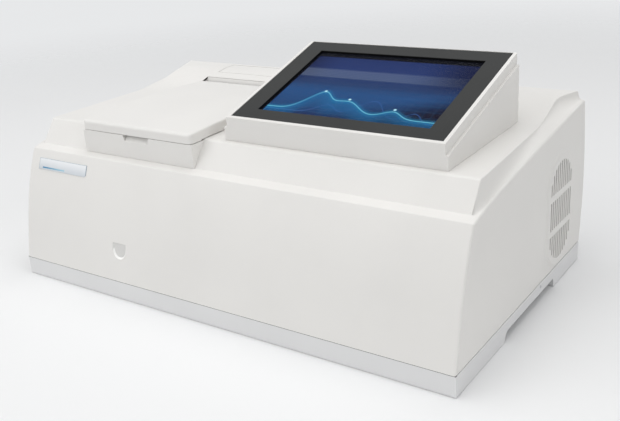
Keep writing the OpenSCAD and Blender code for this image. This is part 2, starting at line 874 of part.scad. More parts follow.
module cuvette_holder() {
    floor_z = deck_z + well_wall;
    top_z = axis_z + cell_up;
    color("#3a3c40") difference() {
        union() {
            block([lid_mid_x - cell_base / 2, cell_t - cell_base_l / 2, floor_z],
                [lid_mid_x + cell_base / 2, cell_t + cell_base_l / 2, floor_z + cell_base_h]);
            block([lid_mid_x - cell_tower / 2, cell_t - cell_tower / 2, floor_z + cell_base_h - eps],
                [lid_mid_x + cell_tower / 2, cell_t + cell_tower / 2, top_z]);
        }
        block([lid_mid_x - cell_w / 2, cell_t - cell_w / 2, axis_z - cell_down],
            [lid_mid_x + cell_w / 2, cell_t + cell_w / 2, top_z + cut]);
        rod_y(lid_mid_x, cell_t - cell_tower, cell_t + cell_tower, axis_z, cell_port_r);
        rod_x(lid_mid_x - cell_tower, lid_mid_x + cell_tower, cell_t, axis_z, cell_port_r);
    }
}

module lens_mounts() {
    color("#26272a") {
        difference() {
            rod_y(lid_mid_x, well_t1, fold_t0, axis_z, mount_r);
            rod_y(lid_mid_x, well_t1 - 1, fold_t0 + 1, axis_z, lens_r);
        }
        difference() {
            rod_x(well_x1, em_x0, cell_t, axis_z, mount_r);
            rod_x(well_x1 - 1, em_x0 + 1, cell_t, axis_z, lens_r);
        }
    }
}

// Flat-backed lens along +Z, of radius r
module lens(r) {
    intersection() {
        cylinder(r = r, h = lens_h);
        translate([0, 0, lens_h - 1 - lens_curve_r]) sphere(r = lens_curve_r);
    }
}
module lenses() {
    r = lens_r - lens_fit;
    color("#cfe6f2") {
        translate([lid_mid_x, y0 + well_t1 + 1, axis_z]) rotate([-90, 0, 0]) lens(r);
        translate([well_x1 + 1, y0 + cell_t, axis_z]) rotate([0, 90, 0]) lens(r);
    }
}

// ---- Console ----
// Height of the display plane at depth t
function display_z(t) = bezel_z0 + (t - bezel_t0) * tan(console_tilt);

module console_base() {
    drop = frame_h / cos(console_tilt) + seat;
    in_t0 = skirt_t0 + skirt_wall;
    in_t1 = skirt_t1 - skirt_wall;
    color("#e9e7e3") difference() {
        side_slab(concat([[skirt_t0, display_z(skirt_t0) - drop], [skirt_t1, display_z(skirt_t1) - drop]],
            [for (t = steps(skirt_t1, skirt_t0)) [t, cover_z(t) + seat]]), skirt_x0, skirt_x0 + skirt_w);
        side_slab([[in_t0, slope_low_z], [in_t0, display_z(in_t1)], [in_t1, display_z(in_t1) + cut],
            [in_t1, slope_low_z]], skirt_x0 + skirt_wall, skirt_x0 + skirt_w - skirt_wall);
    }
}

module display_frame() {
    t0 = skirt_t0;
    t1 = skirt_t1 + frame_over;
    drop = frame_h / cos(console_tilt);
    lift = frame_lift;
    color("#efeeea") difference() {
        side_slab([[t0, display_z(t0) - drop], [t0, display_z(t0) + lift], [t1, display_z(t1) + lift],
            [t1, display_z(t1) - drop]], bezel_x0 - frame_trim, bezel_x0 + bezel_w + frame_trim);
        display_box(-seat, -seat, bezel_w + 2 * seat, bezel_l + 2 * seat, bezel_h, -cut);
        display_box(border_left - lcd_margin - pocket_gap, border_low - lcd_margin - pocket_gap,
            window_w + 2 * lcd_margin + 2 * pocket_gap, window_l + 2 * lcd_margin + 2 * pocket_gap,
            frame_h + cut, -cut);
    }
}

module display_bezel() {
    color("#3c3e3f") difference() {
        display_box(0, 0, bezel_w, bezel_l, bezel_h - seat / 2, 0);
        display_box(border_left, border_low, window_w, window_l, bezel_h + cut, -cut);
    }
}

module touch_glass() {
    color("#aac4d8") display_box(border_left - lcd_margin, border_low - lcd_margin, window_w + 2 * lcd_margin,
        window_l + 2 * lcd_margin, glass_drop, glass_drop - glass_h);
}

module lcd_panel() {
    color("#16245c") display_box(border_left - lcd_margin, border_low - lcd_margin, window_w + 2 * lcd_margin,
        window_l + 2 * lcd_margin, glass_drop + lcd_h, glass_drop + panel_fit);
}

module display_board() {
    back = glass_drop + lcd_h;
    deep = back + board_stand;
    color("#1f5c3a") {
        display_box(border_left + board_edge, border_low + board_edge, window_w - 2 * board_edge,
            window_l - 2 * board_edge, deep + board_h, deep);
        for (u = [post_in, window_w - post_in - post], v = [post_in, window_l - post_in - post])
            display_box(border_left + u, border_low + v, post, post, deep + eps, back + panel_fit);
        display_box(border_left + chip_u, border_low + chip_v, chip_w, chip_l, deep + board_h + chip_h,
            deep + board_h - eps);
    }
}

// ---- Optics ----
module optical_base() {
    color("#a9abae") difference() {
        union() {
            block([deck_x0, deck_t0, base_z], [em_x1 + deck_more, deck_t1, deck_z]);
            block([em_x1, lamp_t0 - isolator_side + 2, base_z], [lamp_x1 + deck_more, deck_t1, deck_z]);
        }
        for (p = isolator_ps()) rod_z(p[0], p[1], base_z - 1, deck_z + 1, isolator_bore_r);
    }
}
function isolator_ps() = [[deck_x0 + isolator_side, deck_t0 + isolator_side],
    [em_x1 - isolator_r, deck_t0 + isolator_side], [deck_x0 + isolator_side, deck_t1 - isolator_side],
    [ex_x1 + isolator_r, deck_t1 - isolator_side + 2],
    [lamp_x1 - isolator_side + 2, lamp_t0 - isolator_side / 2 + 1]];

module isolators() {
    color("#303033") for (p = isolator_ps()) {
        rod_z(p[0], p[1], tray_floor, base_z, isolator_r);
        rod_z(p[0], p[1], base_z - eps, deck_z, isolator_pin_r);
    }
}

// Open-topped box with round light ports given as [side, depth], side -1 left or 1 right
module mono_box(x0, x1, t0, t1, ports) {
    color("#57595d") difference() {
        block([x0, t0, deck_z], [x1, t1, box_top]);
        block([x0 + box_wall, t0 + box_wall, deck_z + box_wall],
            [x1 - box_wall, t1 - box_wall, box_top + cut]);
        for (p = ports) {
            wall_x = p[0] < 0 ? x0 : x1;
            rod_x(wall_x - box_wall - 1, wall_x + box_wall + 1, p[1], axis_z, port_bore);
        }
    }
}
// Motor body that stands on a box floor
module motor(x, t) {
    z0 = deck_z + box_wall;
    color("#2b2d30") difference() {
        block([x - motor_w / 2, t - motor_w / 2, z0], [x + motor_w / 2, t + motor_w / 2, z0 + motor_h]);
        rod_z(x, t, z0 + motor_skin, z0 + motor_h + 1, shaft_r + run_gap);
    }
}
// Turntable and shaft above a motor
module grating_table(x, t) {
    z0 = deck_z + box_wall;
    color("#a3a5a8") {
        rod_z(x, t, z0 + shaft_end, z0 + motor_h + table_gap + eps, shaft_r);
        rod_z(x, t, z0 + motor_h + table_gap, z0 + motor_h + table_gap + table_h, table_r);
    }
}
module grating_block(x, t, turn) {
    z0 = deck_z + box_wall + motor_h + table_gap + table_h;
    color("#c8d0e0") translate([x, y0 + t, z0]) rotate([0, 0, turn])
        translate([-grating_t / 2, -grating_w / 2, 0]) cube([grating_t, grating_w, grating_h]);
}
// Mirror block that stands on a box floor, with a hollow ground face towards +X
module wall_mirror(x, t, turn) {
    z0 = deck_z + box_wall;
    color("#dfe5ea") translate([x, y0 + t, z0]) rotate([0, 0, turn]) difference() {
        translate([-mirror_t / 2, -mirror_w / 2, 0]) cube([mirror_t, mirror_w, mirror_h]);
        translate([mirror_face_r + mirror_t / 4, 0, axis_z - z0]) sphere(r = mirror_face_r, $fn = 96);
    }
}

em_table = [(em_x0 + em_x1) / 2 + table_off, em_t1 - table_back];
pmt_t = em_table[1] - pmt_off;
ex_table = [(ex_x0 + ex_x1) / 2 - table_off, beam_t];

module ex_mono_box() { mono_box(ex_x0, ex_x1, ex_t0, ex_t1, [[-1, beam_t], [1, beam_t]]); }
module ex_mono_cover() {
    color("#57595d") block([ex_x0, ex_t0, box_top], [ex_x1, ex_t1, box_top + lid_plate]);
}
module ex_motor() { motor(ex_table[0], ex_table[1]); }
module ex_grating_table() { grating_table(ex_table[0], ex_table[1]); }
module ex_grating() { grating_block(ex_table[0], ex_table[1], 30); }
module ex_mirror() { wall_mirror(ex_x1 - mirror_side, ex_t0 + mirror_front, 160); }

module em_mono_box() { mono_box(em_x0, em_x1, em_t0, em_t1, [[-1, cell_t], [1, pmt_t]]); }
module em_mono_cover() {
    color("#57595d") block([em_x0, em_t0, box_top], [em_x1, em_t1, box_top + lid_plate]);
}
module em_motor() { motor(em_table[0], em_table[1]); }
module em_grating_table() { grating_table(em_table[0], em_table[1]); }
module em_grating() { grating_block(em_table[0], em_table[1], -25); }
module em_mirror() { wall_mirror(em_x0 + mirror_side, em_t0 + mirror_front, 20); }

module fold_mirror_box() {
    x0 = lid_mid_x - fold_half;
    x1 = lid_mid_x + fold_half;
    color("#57595d") difference() {
        block([x0, fold_t0, deck_z], [x1, fold_t1, axis_z + fold_high]);
        block([x0 + fold_wall, fold_t0 + fold_wall, axis_z - fold_room],
            [x1 - fold_wall, fold_t1 - fold_wall, axis_z + fold_room]);
        rod_x(x1 - fold_wall - cut, x1 + 1, beam_t, axis_z, port_bore + 1);
        rod_y(lid_mid_x, fold_t0 - 1, fold_t0 + fold_wall + cut, axis_z, port_bore + 1);
    }
}
module fold_mirror() {
    color("#dfe5ea") translate([lid_mid_x, y0 + beam_t, axis_z - fold_room]) rotate([0, 0, 45])
        translate([-fold_room, 1, 0]) cube([2 * fold_room, box_wall, 2 * fold_room - box_wall]);
}
module beam_tube() {
    color("#26272a") difference() {
        rod_x(lid_mid_x + fold_half, ex_x0, beam_t, axis_z, port_bore + tube_wall);
        rod_x(lid_mid_x + fold_half - 1, ex_x0 + 1, beam_t, axis_z, port_bore + 1);
    }
}

module lamp_house() {
    color("#8c8f93") difference() {
        block([lamp_x0, lamp_t0, deck_z], [lamp_x1, lamp_t1, lamp_top]);
        block([lamp_x0 + box_wall, lamp_t0 + box_wall, deck_z + box_wall],
            [lamp_x1 - box_wall, lamp_t1 - box_wall, lamp_top - box_wall]);
        rod_x(lamp_x0 - 1, lamp_x0 + box_wall + 1, beam_t, axis_z, lamp_port_r);
        // Air slots towards the fan
        for (i = [0:lamp_slot_n - 1]) {
            t = lamp_t0 + lamp_slot_side + lamp_slot_pitch * i;
            block([lamp_x1 - box_wall - 1, t, lamp_slot_z0],
                [lamp_x1 + 1, t + lamp_slot_w, lamp_slot_z0 + lamp_slot_h]);
        }
    }
}
lamp_x = (lamp_x0 + lamp_x1) / 2 - lamp_off;
module lamp_reflector() {
    foot_z = axis_z - deck_z - box_wall;
    color("#d9dde2") translate([lamp_x, y0 + beam_t, axis_z]) {
        rotate([0, 90, 0]) rotate_extrude() polygon(concat(
            [for (a = steps(0, bowl_edge, 2 * bend_n)) [bowl_r * sin(a), bowl_r * cos(a)]],
            [for (a = steps(bowl_edge, 0, 2 * bend_n))
                [(bowl_r + bowl_skin) * sin(a), (bowl_r + bowl_skin) * cos(a)]]));
        // Post that carries the bowl
        translate([bowl_r + 1, -bowl_post_w / 2, -foot_z])
            cube([bowl_post_t, bowl_post_w, foot_z + box_wall]);
    }
}
module xenon_lamp() {
    color("#e8eef2") {
        rod_z(lamp_x, beam_t, axis_z - bulb_half, axis_z + bulb_half, bulb_stem_r);
        translate([lamp_x, y0 + beam_t, axis_z]) sphere(r = bulb_r);
        rod_z(lamp_x, beam_t, axis_z + bulb_half - eps, axis_z + bulb_half + bulb_cap, bulb_cap_r);
        rod_z(lamp_x, beam_t, deck_z + box_wall, axis_z - bulb_half + eps, bulb_base_r);
    }
}

// Blade angle from the pivot down to the beam
blade_reach = sqrt(pow(beam_t - shutter_t, 2) + pow(shutter_z - axis_z, 2));
blade_angle = atan2(axis_z - shutter_z, beam_t - shutter_t);
module shutter_blade() {
    color("#2a2b2d") {
        translate([blade_x, y0 + shutter_t, shutter_z]) rotate([blade_angle, 0, 0]) {
            translate([0, 0, -blade_arm / 2]) cube([blade_h, blade_reach, blade_arm]);
            translate([0, blade_reach, 0]) rotate([0, 90, 0]) cylinder(r = blade_r, h = blade_h);
            rotate([0, 90, 0]) cylinder(r = blade_hub_r, h = blade_h);
        }
        rod_x(blade_x + blade_h / 2, lamp_x0 - cut, shutter_t, shutter_z, pivot_r);
    }
}
module shutter_solenoid() {
    color("#7c5a2c") difference() {
        rod_x(blade_x + coil_gap, lamp_x0, shutter_t, shutter_z, coil_r);
        rod_x(blade_x + coil_gap - 1, lamp_x0 - 1, shutter_t, shutter_z, pivot_r + run_gap);
    }
}

module pmt_housing() {
    x1 = em_x1 + pmt_l;
    color("#313338") difference() {
        block([em_x1, pmt_t - pmt_half, axis_z - pmt_half], [x1, pmt_t + pmt_half, axis_z + pmt_half]);
        rod_x(em_x1 - 1, x1 - box_wall, pmt_t, axis_z, pmt_r);
    }
}
module pmt_tube() {
    x0 = em_x1 + pmt_in;
    x1 = em_x1 + pmt_l - box_wall;
    color("#d8e4ea") {
        rod_x(x0, x1 - pmt_base, pmt_t, axis_z, pmt_r - 1);
        rod_x(x1 - pmt_base - eps, x1, pmt_t, axis_z, pmt_r - lid_plate);
    }
}

// ---- Electronics ----
supply_gap = 16;
supply_side = 10;
supply_x0 = em_x1 + supply_gap;
supply_x1 = half_w - wall - supply_side;
supply_t0 = 40;
supply_back = 22;
supply_t1 = lamp_t0 - supply_back;
supply_top = 80;
supply_skin = 1.5;
supply_vents = 14;
supply_vent_w = 4;
supply_vent_l = 40;
supply_vent_pitch = 9;
supply_vent_in = 10;
core_w = 55;
core_h = 46;
core_in = 20;
core_front = 70;
module power_supply() {
    core_t = supply_t0 + core_front;
    vent_t = supply_t0 + supply_vent_in + 2;
    color("#b7b9bb") {
        difference() {
            block([supply_x0, supply_t0, tray_floor], [supply_x1, supply_t1, supply_top]);
            block([supply_x0 + supply_skin, supply_t0 + supply_skin, tray_floor + supply_skin],
                [supply_x1 - supply_skin, supply_t1 - supply_skin, supply_top - supply_skin]);
            for (i = [0:supply_vents - 1]) {
                x = supply_x0 + supply_vent_in + supply_vent_pitch * i;
                block([x, vent_t, supply_top - cut],
                    [x + supply_vent_w, vent_t + supply_vent_l, supply_top + 1]);
            }
        }
        // Transformer inside the case
        block([supply_x0 + core_in, core_t, tray_floor + supply_skin - eps],
            [supply_x0 + core_in + core_w, core_t + core_w, tray_floor + core_h]);
    }
}

board_side = 8;
board_z = 40;
board_front = 70;
board_back = 38;
stud_r = 3;
stud_in = 6;
stud_end = 15;
cap_n = 4;
cap_r = 4;
cap_h = 16;
cap_in = 12;
cap_pitch = 10;
// Chips on the main board as [left, front, width, length, height]
chips = [[14, 40, 30, 30, 3], [10, 100, 40, 12, 9], [18, 145, 18, 18, 2]];
cap_t = 185;
module main_board() {
    x0 = -half_w + wall + board_side;
    x1 = deck_x0 - board_side;
    t1 = rear_t0 - board_back;
    z1 = board_z + board_h;
    color("#1f5c3a") {
        block([x0, board_front, board_z], [x1, t1, z1]);
        for (t = [board_front + stud_end, (board_front + t1) / 2, t1 - stud_end],
            x = [x0 + stud_in, x1 - stud_in])
            rod_z(x, t, tray_floor, board_z + eps, stud_r);
        for (c = chips) block([x0 + c[0], board_front + c[1], z1 - eps],
            [x0 + c[0] + c[2], board_front + c[1] + c[3], z1 + c[4]]);
    }
    color("#40454c") for (i = [0:cap_n - 1])
        rod_z(x0 + cap_in + cap_pitch * i, board_front + cap_t, z1 - eps, z1 + cap_h, cap_r);
}

strut_w = 4;
strut_h = 3;
module fan_frame() {
    color("#26272a") difference() {
        union() {
            difference() {
                block([fan_x0, grille_t - fan / 2, fan_z - fan / 2],
                    [fan_x1, grille_t + fan / 2, fan_z + fan / 2]);
                rod_x(fan_x0 - 1, fan_x1 + 1, grille_t, fan_z, fan_bore_r);
            }
            // Hub carrier on three struts
            rod_x(fan_x0, fan_x0 + fan_plate, grille_t, fan_z, fan_hub_r);
            for (a = [30, 150, 270]) translate([fan_x0, y0 + grille_t, fan_z]) rotate([a, 0, 0])
                translate([0, fan_hub_r / 2, -strut_w / 2])
                    cube([strut_h, fan_bore_r - fan_hub_r / 2 + cut, strut_w]);
        }
        rod_x(fan_x0 - 1, fan_x0 + fan_plate + 1, grille_t, fan_z, shaft_r + run_gap);
        for (a = [-1, 1], b = [-1, 1])
            rod_x(fan_x0 - 1, fan_x1 + 1, grille_t + a * fan_hole, fan_z + b * fan_hole, fan_hole_r);
    }
}
blade_n = 7;
blade_pitch = 38;
vane_t = 1.6;
vane_w = 22;
vane_span = 15;
module fan_rotor() {
    hub_x0 = fan_x0 + fan_plate + 1;
    color("#3b3d41") {
        rod_x(hub_x0, fan_x1 - fan_gap, grille_t, fan_z, fan_hub_r);
        rod_x(fan_x0 + 1, hub_x0 + eps, grille_t, fan_z, shaft_r);
        translate([(fan_x0 + fan_x1) / 2 + 1, y0 + grille_t, fan_z]) for (i = [0:blade_n - 1])
            rotate([360 * i / blade_n, 0, 0]) intersection() {
                translate([0, fan_hub_r - cut, 0]) rotate([0, blade_pitch, 0])
                    translate([-vane_t / 2, 0, -vane_w / 2]) cube([vane_t, fan_blade_r - fan_hub_r, vane_w]);
                translate([-vane_span / 2, 0, -vane_w]) cube([vane_span, fan_blade_r + cut, 2 * vane_w]);
            }
    }
}

socket_rim = 2;
socket_wall = 1.5;
socket_face = 2.5;
socket_deep = 13;
pin_low = 3;
pin_w = 2;
pin_tall = 4;
pins = [[-7, -1.5], [7, -1.5], [0, 2.5]];
module power_inlet() {
    half = inlet_w / 2;
    tall = inlet_h / 2;
    color("#1d1d1f") difference() {
        union() {
            block([inlet_x - half - socket_rim, panel_out, inlet_z - tall - socket_rim],
                [inlet_x + half + socket_rim, panel_out + socket_face, inlet_z + tall + socket_rim]);
            block([inlet_x - half, panel_t - inlet_deep, inlet_z - tall],
                [inlet_x + half, panel_out + eps, inlet_z + tall]);
        }
        block([inlet_x - half + socket_wall, panel_t - socket_deep, inlet_z - tall + 2],
            [inlet_x + half - socket_wall, panel_out + 2 * cut, inlet_z + tall - 2]);
    }
    // Contact pins
    color("#c4b070") for (p = pins) block(
        [inlet_x + p[0] - pin_w / 2, panel_t - socket_deep - eps, inlet_z + p[1] - pin_tall / 2],
        [inlet_x + p[0] + pin_w / 2, panel_t - pin_low, inlet_z + p[1] + pin_tall / 2]);
}

rocker_w = 15.2;
rocker_half = 10.4;
rocker_rise = 11.4;
rocker_dip = 9.8;
rocker_shoulder = 9;
rocker_root = [3, 4];
rocker_tilt = 8;
rocker_pin_r = 1.5;
rocker_back = 6;
rocker_axis_t = panel_t - rocker_back;
rocker_room = 0.4;
switch_cavity = 14;
module switch_body() {
    half = switch_w / 2;
    tall = switch_h / 2;
    room = rocker_w / 2 + rocker_room;
    color("#1d1d1f") difference() {
        union() {
            block([inlet_x - half - socket_rim, panel_out, rocker_z - tall - socket_rim],
                [inlet_x + half + socket_rim, panel_out + socket_rim, rocker_z + tall + socket_rim]);
            block([inlet_x - half, panel_t - switch_deep, rocker_z - tall],
                [inlet_x + half, panel_out + eps, rocker_z + tall]);
        }
        block([inlet_x - room, panel_t - switch_cavity, rocker_z - tall + 0.9],
            [inlet_x + room, panel_out + 2 * cut, rocker_z + tall - 0.9]);
        rod_x(inlet_x - half + 0.5, inlet_x + half - 0.5, rocker_axis_t, rocker_z, rocker_pin_r + run_gap);
    }
}
module power_rocker() {
    pin = (switch_w - rocker_w) / 2 - 0.8;
    color("#a31f1f") translate([inlet_x - rocker_w / 2, y0 + rocker_axis_t, rocker_z])
        rotate([rocker_tilt, 0, 0]) {
            rotate([90, 0, 90]) linear_extrude(rocker_w) polygon([
                [-rocker_root[0], -rocker_root[1]], [rocker_shoulder, -rocker_half],
                [rocker_rise, -rocker_half], [rocker_dip, 0], [rocker_rise, rocker_half],
                [rocker_shoulder, rocker_half], [-rocker_root[0], rocker_root[1]]]);
            translate([-pin, 0, 0]) rotate([0, 90, 0]) cylinder(r = rocker_pin_r, h = rocker_w + 2 * pin);
        }
}

usb_deep = 14;
usb_skin = 1.5;
usb_out = 0.5;
serial_deep = 10;
serial_out = 5;
serial_skin = 1;
serial_ear = 6;
serial_flange = 0.8;
serial_room = 4;
module data_ports() {
    half = serial_w / 2;
    tall = serial_h / 2;
    color("#c3c5c8") {
        difference() {
            block([usb_x - usb_w / 2, panel_t - usb_deep, usb_z - usb_h / 2],
                [usb_x + usb_w / 2, panel_out + usb_out, usb_z + usb_h / 2]);
            block([usb_x - usb_w / 2 + usb_skin, panel_t - serial_deep, usb_z - usb_h / 2 + usb_skin],
                [usb_x + usb_w / 2 - usb_skin, panel_out + cut, usb_z + usb_h / 2 - usb_skin]);
        }
        difference() {
            union() {
                block([usb_x - half - serial_ear, panel_out, serial_z - tall - 1.2],
                    [usb_x + half + serial_ear, panel_out + serial_flange, serial_z + tall + 1.2]);
                block([usb_x - half, panel_t - serial_deep, serial_z - tall],
                    [usb_x + half, panel_out + serial_out, serial_z + tall]);
            }
            block([usb_x - half + serial_skin, panel_t - serial_room, serial_z - tall + serial_skin],
                [usb_x + half - serial_skin, panel_out + serial_out + cut, serial_z + tall - serial_skin]);
        }
    }
}

head_r = 2.8;
head_h = 1.6;
head_socket_r = 1;
side_screw_r = 1.6;
side_screw_h = 0.6;
side_screw_back = 42;
side_screw_z = 19;
module screws() {
    side_x = half_w - tray_inset;
    end_x = opening_x + rebate / 2;
    color("#9a9da1") {
        // Rear panel
        for (i = [-2:2], z = [opening_z0 - rebate_low / 2, opening_z1 + rebate / 2]) difference() {
            rod_y(end_x * i / 2, panel_out, panel_out + head_h, z, head_r);
            rod_y(end_x * i / 2, panel_out + head_h / 2, panel_out + head_h + 1, z, head_socket_r);
        }
        // Base, one on each side
        for (x = [-side_x - side_screw_h, side_x])
            rod_x(x, x + side_screw_h, arch_t1 - side_screw_back, side_screw_z, side_screw_r);
    }
}

base_tray();
rubber_feet();
housing();
top_cover();
rear_panel();
rear_access_cover();
side_grille_right();
side_grille_left();
nameplate();
front_port_plug();
compartment_front();
sample_lid();
lid_liner();
lid_gasket();
lid_hinge_arms();
hinge_pins();
hinge_brackets();
sample_well();
cuvette_holder();
lens_mounts();
lenses();
console_base();
display_frame();
display_bezel();
touch_glass();
lcd_panel();
display_board();
optical_base();
isolators();
ex_mono_box();
ex_mono_cover();
ex_grating_table();
ex_grating();
ex_mirror();
ex_motor();
em_mono_box();
em_mono_cover();
em_grating_table();
em_grating();
em_mirror();
em_motor();
fold_mirror_box();
fold_mirror();
beam_tube();
lamp_house();
lamp_reflector();
xenon_lamp();
shutter_blade();
shutter_solenoid();
pmt_housing();
pmt_tube();
power_supply();
main_board();
fan_frame();
fan_rotor();
power_inlet();
switch_body();
power_rocker();
data_ports();
screws();
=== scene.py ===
# Looks for the benchtop fluorometer: one function per piece or group, in the part's frame
import json
import math

import bmesh
import bpy
from mathutils import Matrix, Vector


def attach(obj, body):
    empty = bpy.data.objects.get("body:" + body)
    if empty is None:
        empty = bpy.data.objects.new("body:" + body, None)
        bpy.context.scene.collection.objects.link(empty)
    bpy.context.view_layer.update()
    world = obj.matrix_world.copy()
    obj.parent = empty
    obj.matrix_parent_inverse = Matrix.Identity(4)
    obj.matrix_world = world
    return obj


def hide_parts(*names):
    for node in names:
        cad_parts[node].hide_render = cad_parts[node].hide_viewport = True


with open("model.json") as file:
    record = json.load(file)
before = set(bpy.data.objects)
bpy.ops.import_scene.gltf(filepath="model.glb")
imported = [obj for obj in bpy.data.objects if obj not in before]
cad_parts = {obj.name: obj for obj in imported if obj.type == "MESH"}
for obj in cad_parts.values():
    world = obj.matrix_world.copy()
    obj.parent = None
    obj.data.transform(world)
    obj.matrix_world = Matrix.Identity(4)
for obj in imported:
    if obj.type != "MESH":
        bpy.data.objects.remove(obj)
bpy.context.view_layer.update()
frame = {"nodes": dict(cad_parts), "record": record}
print("loaded", len(frame["nodes"]), "nodes")

# Lengths below are millimetres: x across, t back from the front plane, z up
mm = 0.001
frontY = -174.0


def newObject(name, data):
    made = bpy.data.objects.new(name, data)
    bpy.context.scene.collection.objects.link(made)
    return made


# Camera

cameraSetup = {"place": (0.59028, -0.78416, 0.45484), "yaw": 35.79, "pitch": 21.33, "roll": 4.09,
               "lens": 49.80, "sensor": 36.0}


def makeCamera(setup):
    yaw, pitch, roll = (math.radians(setup[k]) for k in ("yaw", "pitch", "roll"))
    data = bpy.data.cameras.new("viewCamera")
    data.lens = setup["lens"]
    data.sensor_width = setup["sensor"]
    data.clip_start = 0.01
    data.clip_end = 60
    camera = newObject("viewCamera", data)
    camera.matrix_world = Matrix.Translation(setup["place"]) @ Matrix.Rotation(yaw, 4, "Z")
    camera.matrix_world @= Matrix.Rotation(math.pi / 2 - pitch, 4, "X") @ Matrix.Rotation(-roll, 4, "Z")
    bpy.context.scene.camera = camera


makeCamera(cameraSetup)


# Node trees

def mathWith(operation, reflected=False):
    def apply(self, other):
        pair = (other, self) if reflected else (self, other)
        return self.maker.node("Math", dict(enumerate(pair)), {"operation": operation})
    return apply


class Tap:
    # One output socket; arithmetic on it adds Math nodes
    def __init__(self, maker, socket):
        self.maker = maker
        self.socket = socket

    __add__ = __radd__ = mathWith("ADD")
    __sub__ = mathWith("SUBTRACT")
    __rsub__ = mathWith("SUBTRACT", True)
    __mul__ = __rmul__ = mathWith("MULTIPLY")
    __truediv__ = mathWith("DIVIDE")
    __mod__ = mathWith("MODULO")
    __pow__ = mathWith("POWER")
    __rpow__ = mathWith("POWER", True)
    __lt__ = mathWith("LESS_THAN")
    __gt__ = mathWith("GREATER_THAN")
    least = mathWith("MINIMUM")
    most = mathWith("MAXIMUM")
    pingPong = mathWith("PINGPONG")

    def alone(self, operation):
        return self.maker.node("Math", {0: self}, {"operation": operation})

    def size(self):
        return self.alone("ABSOLUTE")

    def part(self):
        return self.alone("FRACT")

    def step(self, low, high):
        return self.maker.node("MapRange", {"Value": self, "From Min": low, "From Max": high},
                               {"interpolation_type": "SMOOTHSTEP"})


class TreeMaker:
    def node(self, kind, inputs=None, settings=None, out=0, family="Shader"):
        made = self.tree.nodes.new(family + "Node" + kind)
        for key, value in (settings or {}).items():
            if key == "stops":
                while len(made.color_ramp.elements) < len(value):
                    made.color_ramp.elements.new(0.5)
                for stop, (place, colour) in zip(made.color_ramp.elements, value):
                    stop.position = place
                    stop.color = (*colour, 1)
            else:
                setattr(made, key, value)
        for key, value in (inputs or {}).items():
            self.feed(made.inputs[key], value)
        return Tap(self, made.outputs[out])

    def feed(self, socket, value):
        if isinstance(value, Tap):
            self.tree.links.new(value.socket, socket)
        elif socket.type == "RGBA" and len(value) == 3:
            socket.default_value = (*value, 1)
        else:
            socket.default_value = value

    def split(self, vector):
        made = self.tree.nodes.new("ShaderNodeSeparateXYZ")
        self.feed(made.inputs[0], vector)
        return [Tap(self, o) for o in made.outputs]


class Finish(TreeMaker):
    def __init__(self, name):
        self.material = bpy.data.materials.new(name)
        self.material.use_nodes = True
        self.tree = self.material.node_tree
        self.tree.nodes.clear()
        self.output = self.tree.nodes.new("ShaderNodeOutputMaterial")

    def place(self):
        return self.node("TexCoord", out="Object")

    def mapped(self, scale):
        return self.node("Mapping", {"Vector": self.place(), "Scale": scale})

    def noise(self, scale, detail=3.0, vector=None):
        return self.node("TexNoise",
                         {"Vector": vector or self.place(), "Scale": scale, "Detail": detail})

    def mix(self, share, first, second):
        made = self.tree.nodes.new("ShaderNodeMix")
        made.data_type = "RGBA"
        for socket, value in zip((made.inputs[0], made.inputs[6], made.inputs[7]), (share, first, second)):
            self.feed(socket, value)
        return Tap(self, made.outputs[2])

    # Between two shades of a colour
    def vary(self, share, colour, low, high):
        return self.mix(share, *([min(1.0, c * by) for c in colour] for by in (low, high)))

    def bump(self, height, strength, distance, base=None):
        inputs = {"Height": height, "Strength": strength, "Distance": distance}
        if base:
            inputs["Normal"] = base
        return self.node("Bump", inputs)

    def shade(self, colour, rough, inputs):
        shader = self.node("BsdfPrincipled", {"Base Color": colour, "Roughness": rough, **inputs})
        self.tree.links.new(shader.socket, self.output.inputs["Surface"])
        finishes[self.material.name] = self.material


finishes = {}


# Moulded plastic: faint cloudiness in the colour, fine texture and slow waves in the surface
def mouldedFinish(name, colour, rough=0.44, coat=0.0):
    m = Finish(name)
    clouds = m.noise(9.0, 4.0)
    pores = m.noise(900.0, 2.0)
    waves = m.bump(m.noise(35.0, 2.0), 0.02, 0.001)
    m.shade(m.vary(clouds.step(0.3, 0.7), colour, 0.985, 1.015), rough + (pores - 0.5) * 0.12,
            {"Normal": m.bump(pores, 0.1, 0.0002, waves), "Coat Weight": coat})


# Brushed or rolled metal: streaks along one axis
def brushedFinish(name, colour, rough, along, depth=0.12):
    m = Finish(name)
    stretch = {"x": (6, 900, 900), "y": (900, 6, 900), "z": (900, 900, 6)}[along]
    streaks = m.noise(1.0, 4.0, m.mapped(stretch))
    tarnish = m.noise(14.0, 4.0)
    m.shade(m.vary(tarnish.step(0.35, 0.75), colour, 1.0, 0.86),
            rough + (streaks - 0.5) * 0.22 + (tarnish - 0.5) * 0.1,
            {"Metallic": 1.0, "Normal": m.bump(streaks, depth, 0.0002)})


# Cast or bead-blasted metal with an anodised coat
def blastedFinish(name, colour, rough, metal):
    m = Finish(name)
    grit = m.noise(1400.0)
    clouds = m.noise(18.0)
    m.shade(m.vary(clouds, colour, 0.9, 1.1), rough + (grit - 0.5) * 0.2,
            {"Metallic": metal, "Normal": m.bump(grit, 0.25, 0.0003)})


# Powder coat with orange peel
def coatedFinish(name, colour, rough=0.45):
    m = Finish(name)
    dimples = m.node("TexVoronoi", {"Vector": m.place(), "Scale": 420.0}, {"feature": "SMOOTH_F1"})
    clouds = m.noise(12.0)
    m.shade(m.vary(clouds, colour, 0.96, 1.04), rough + (clouds - 0.5) * 0.1,
            {"Normal": m.bump(dimples, 0.2, 0.0003)})


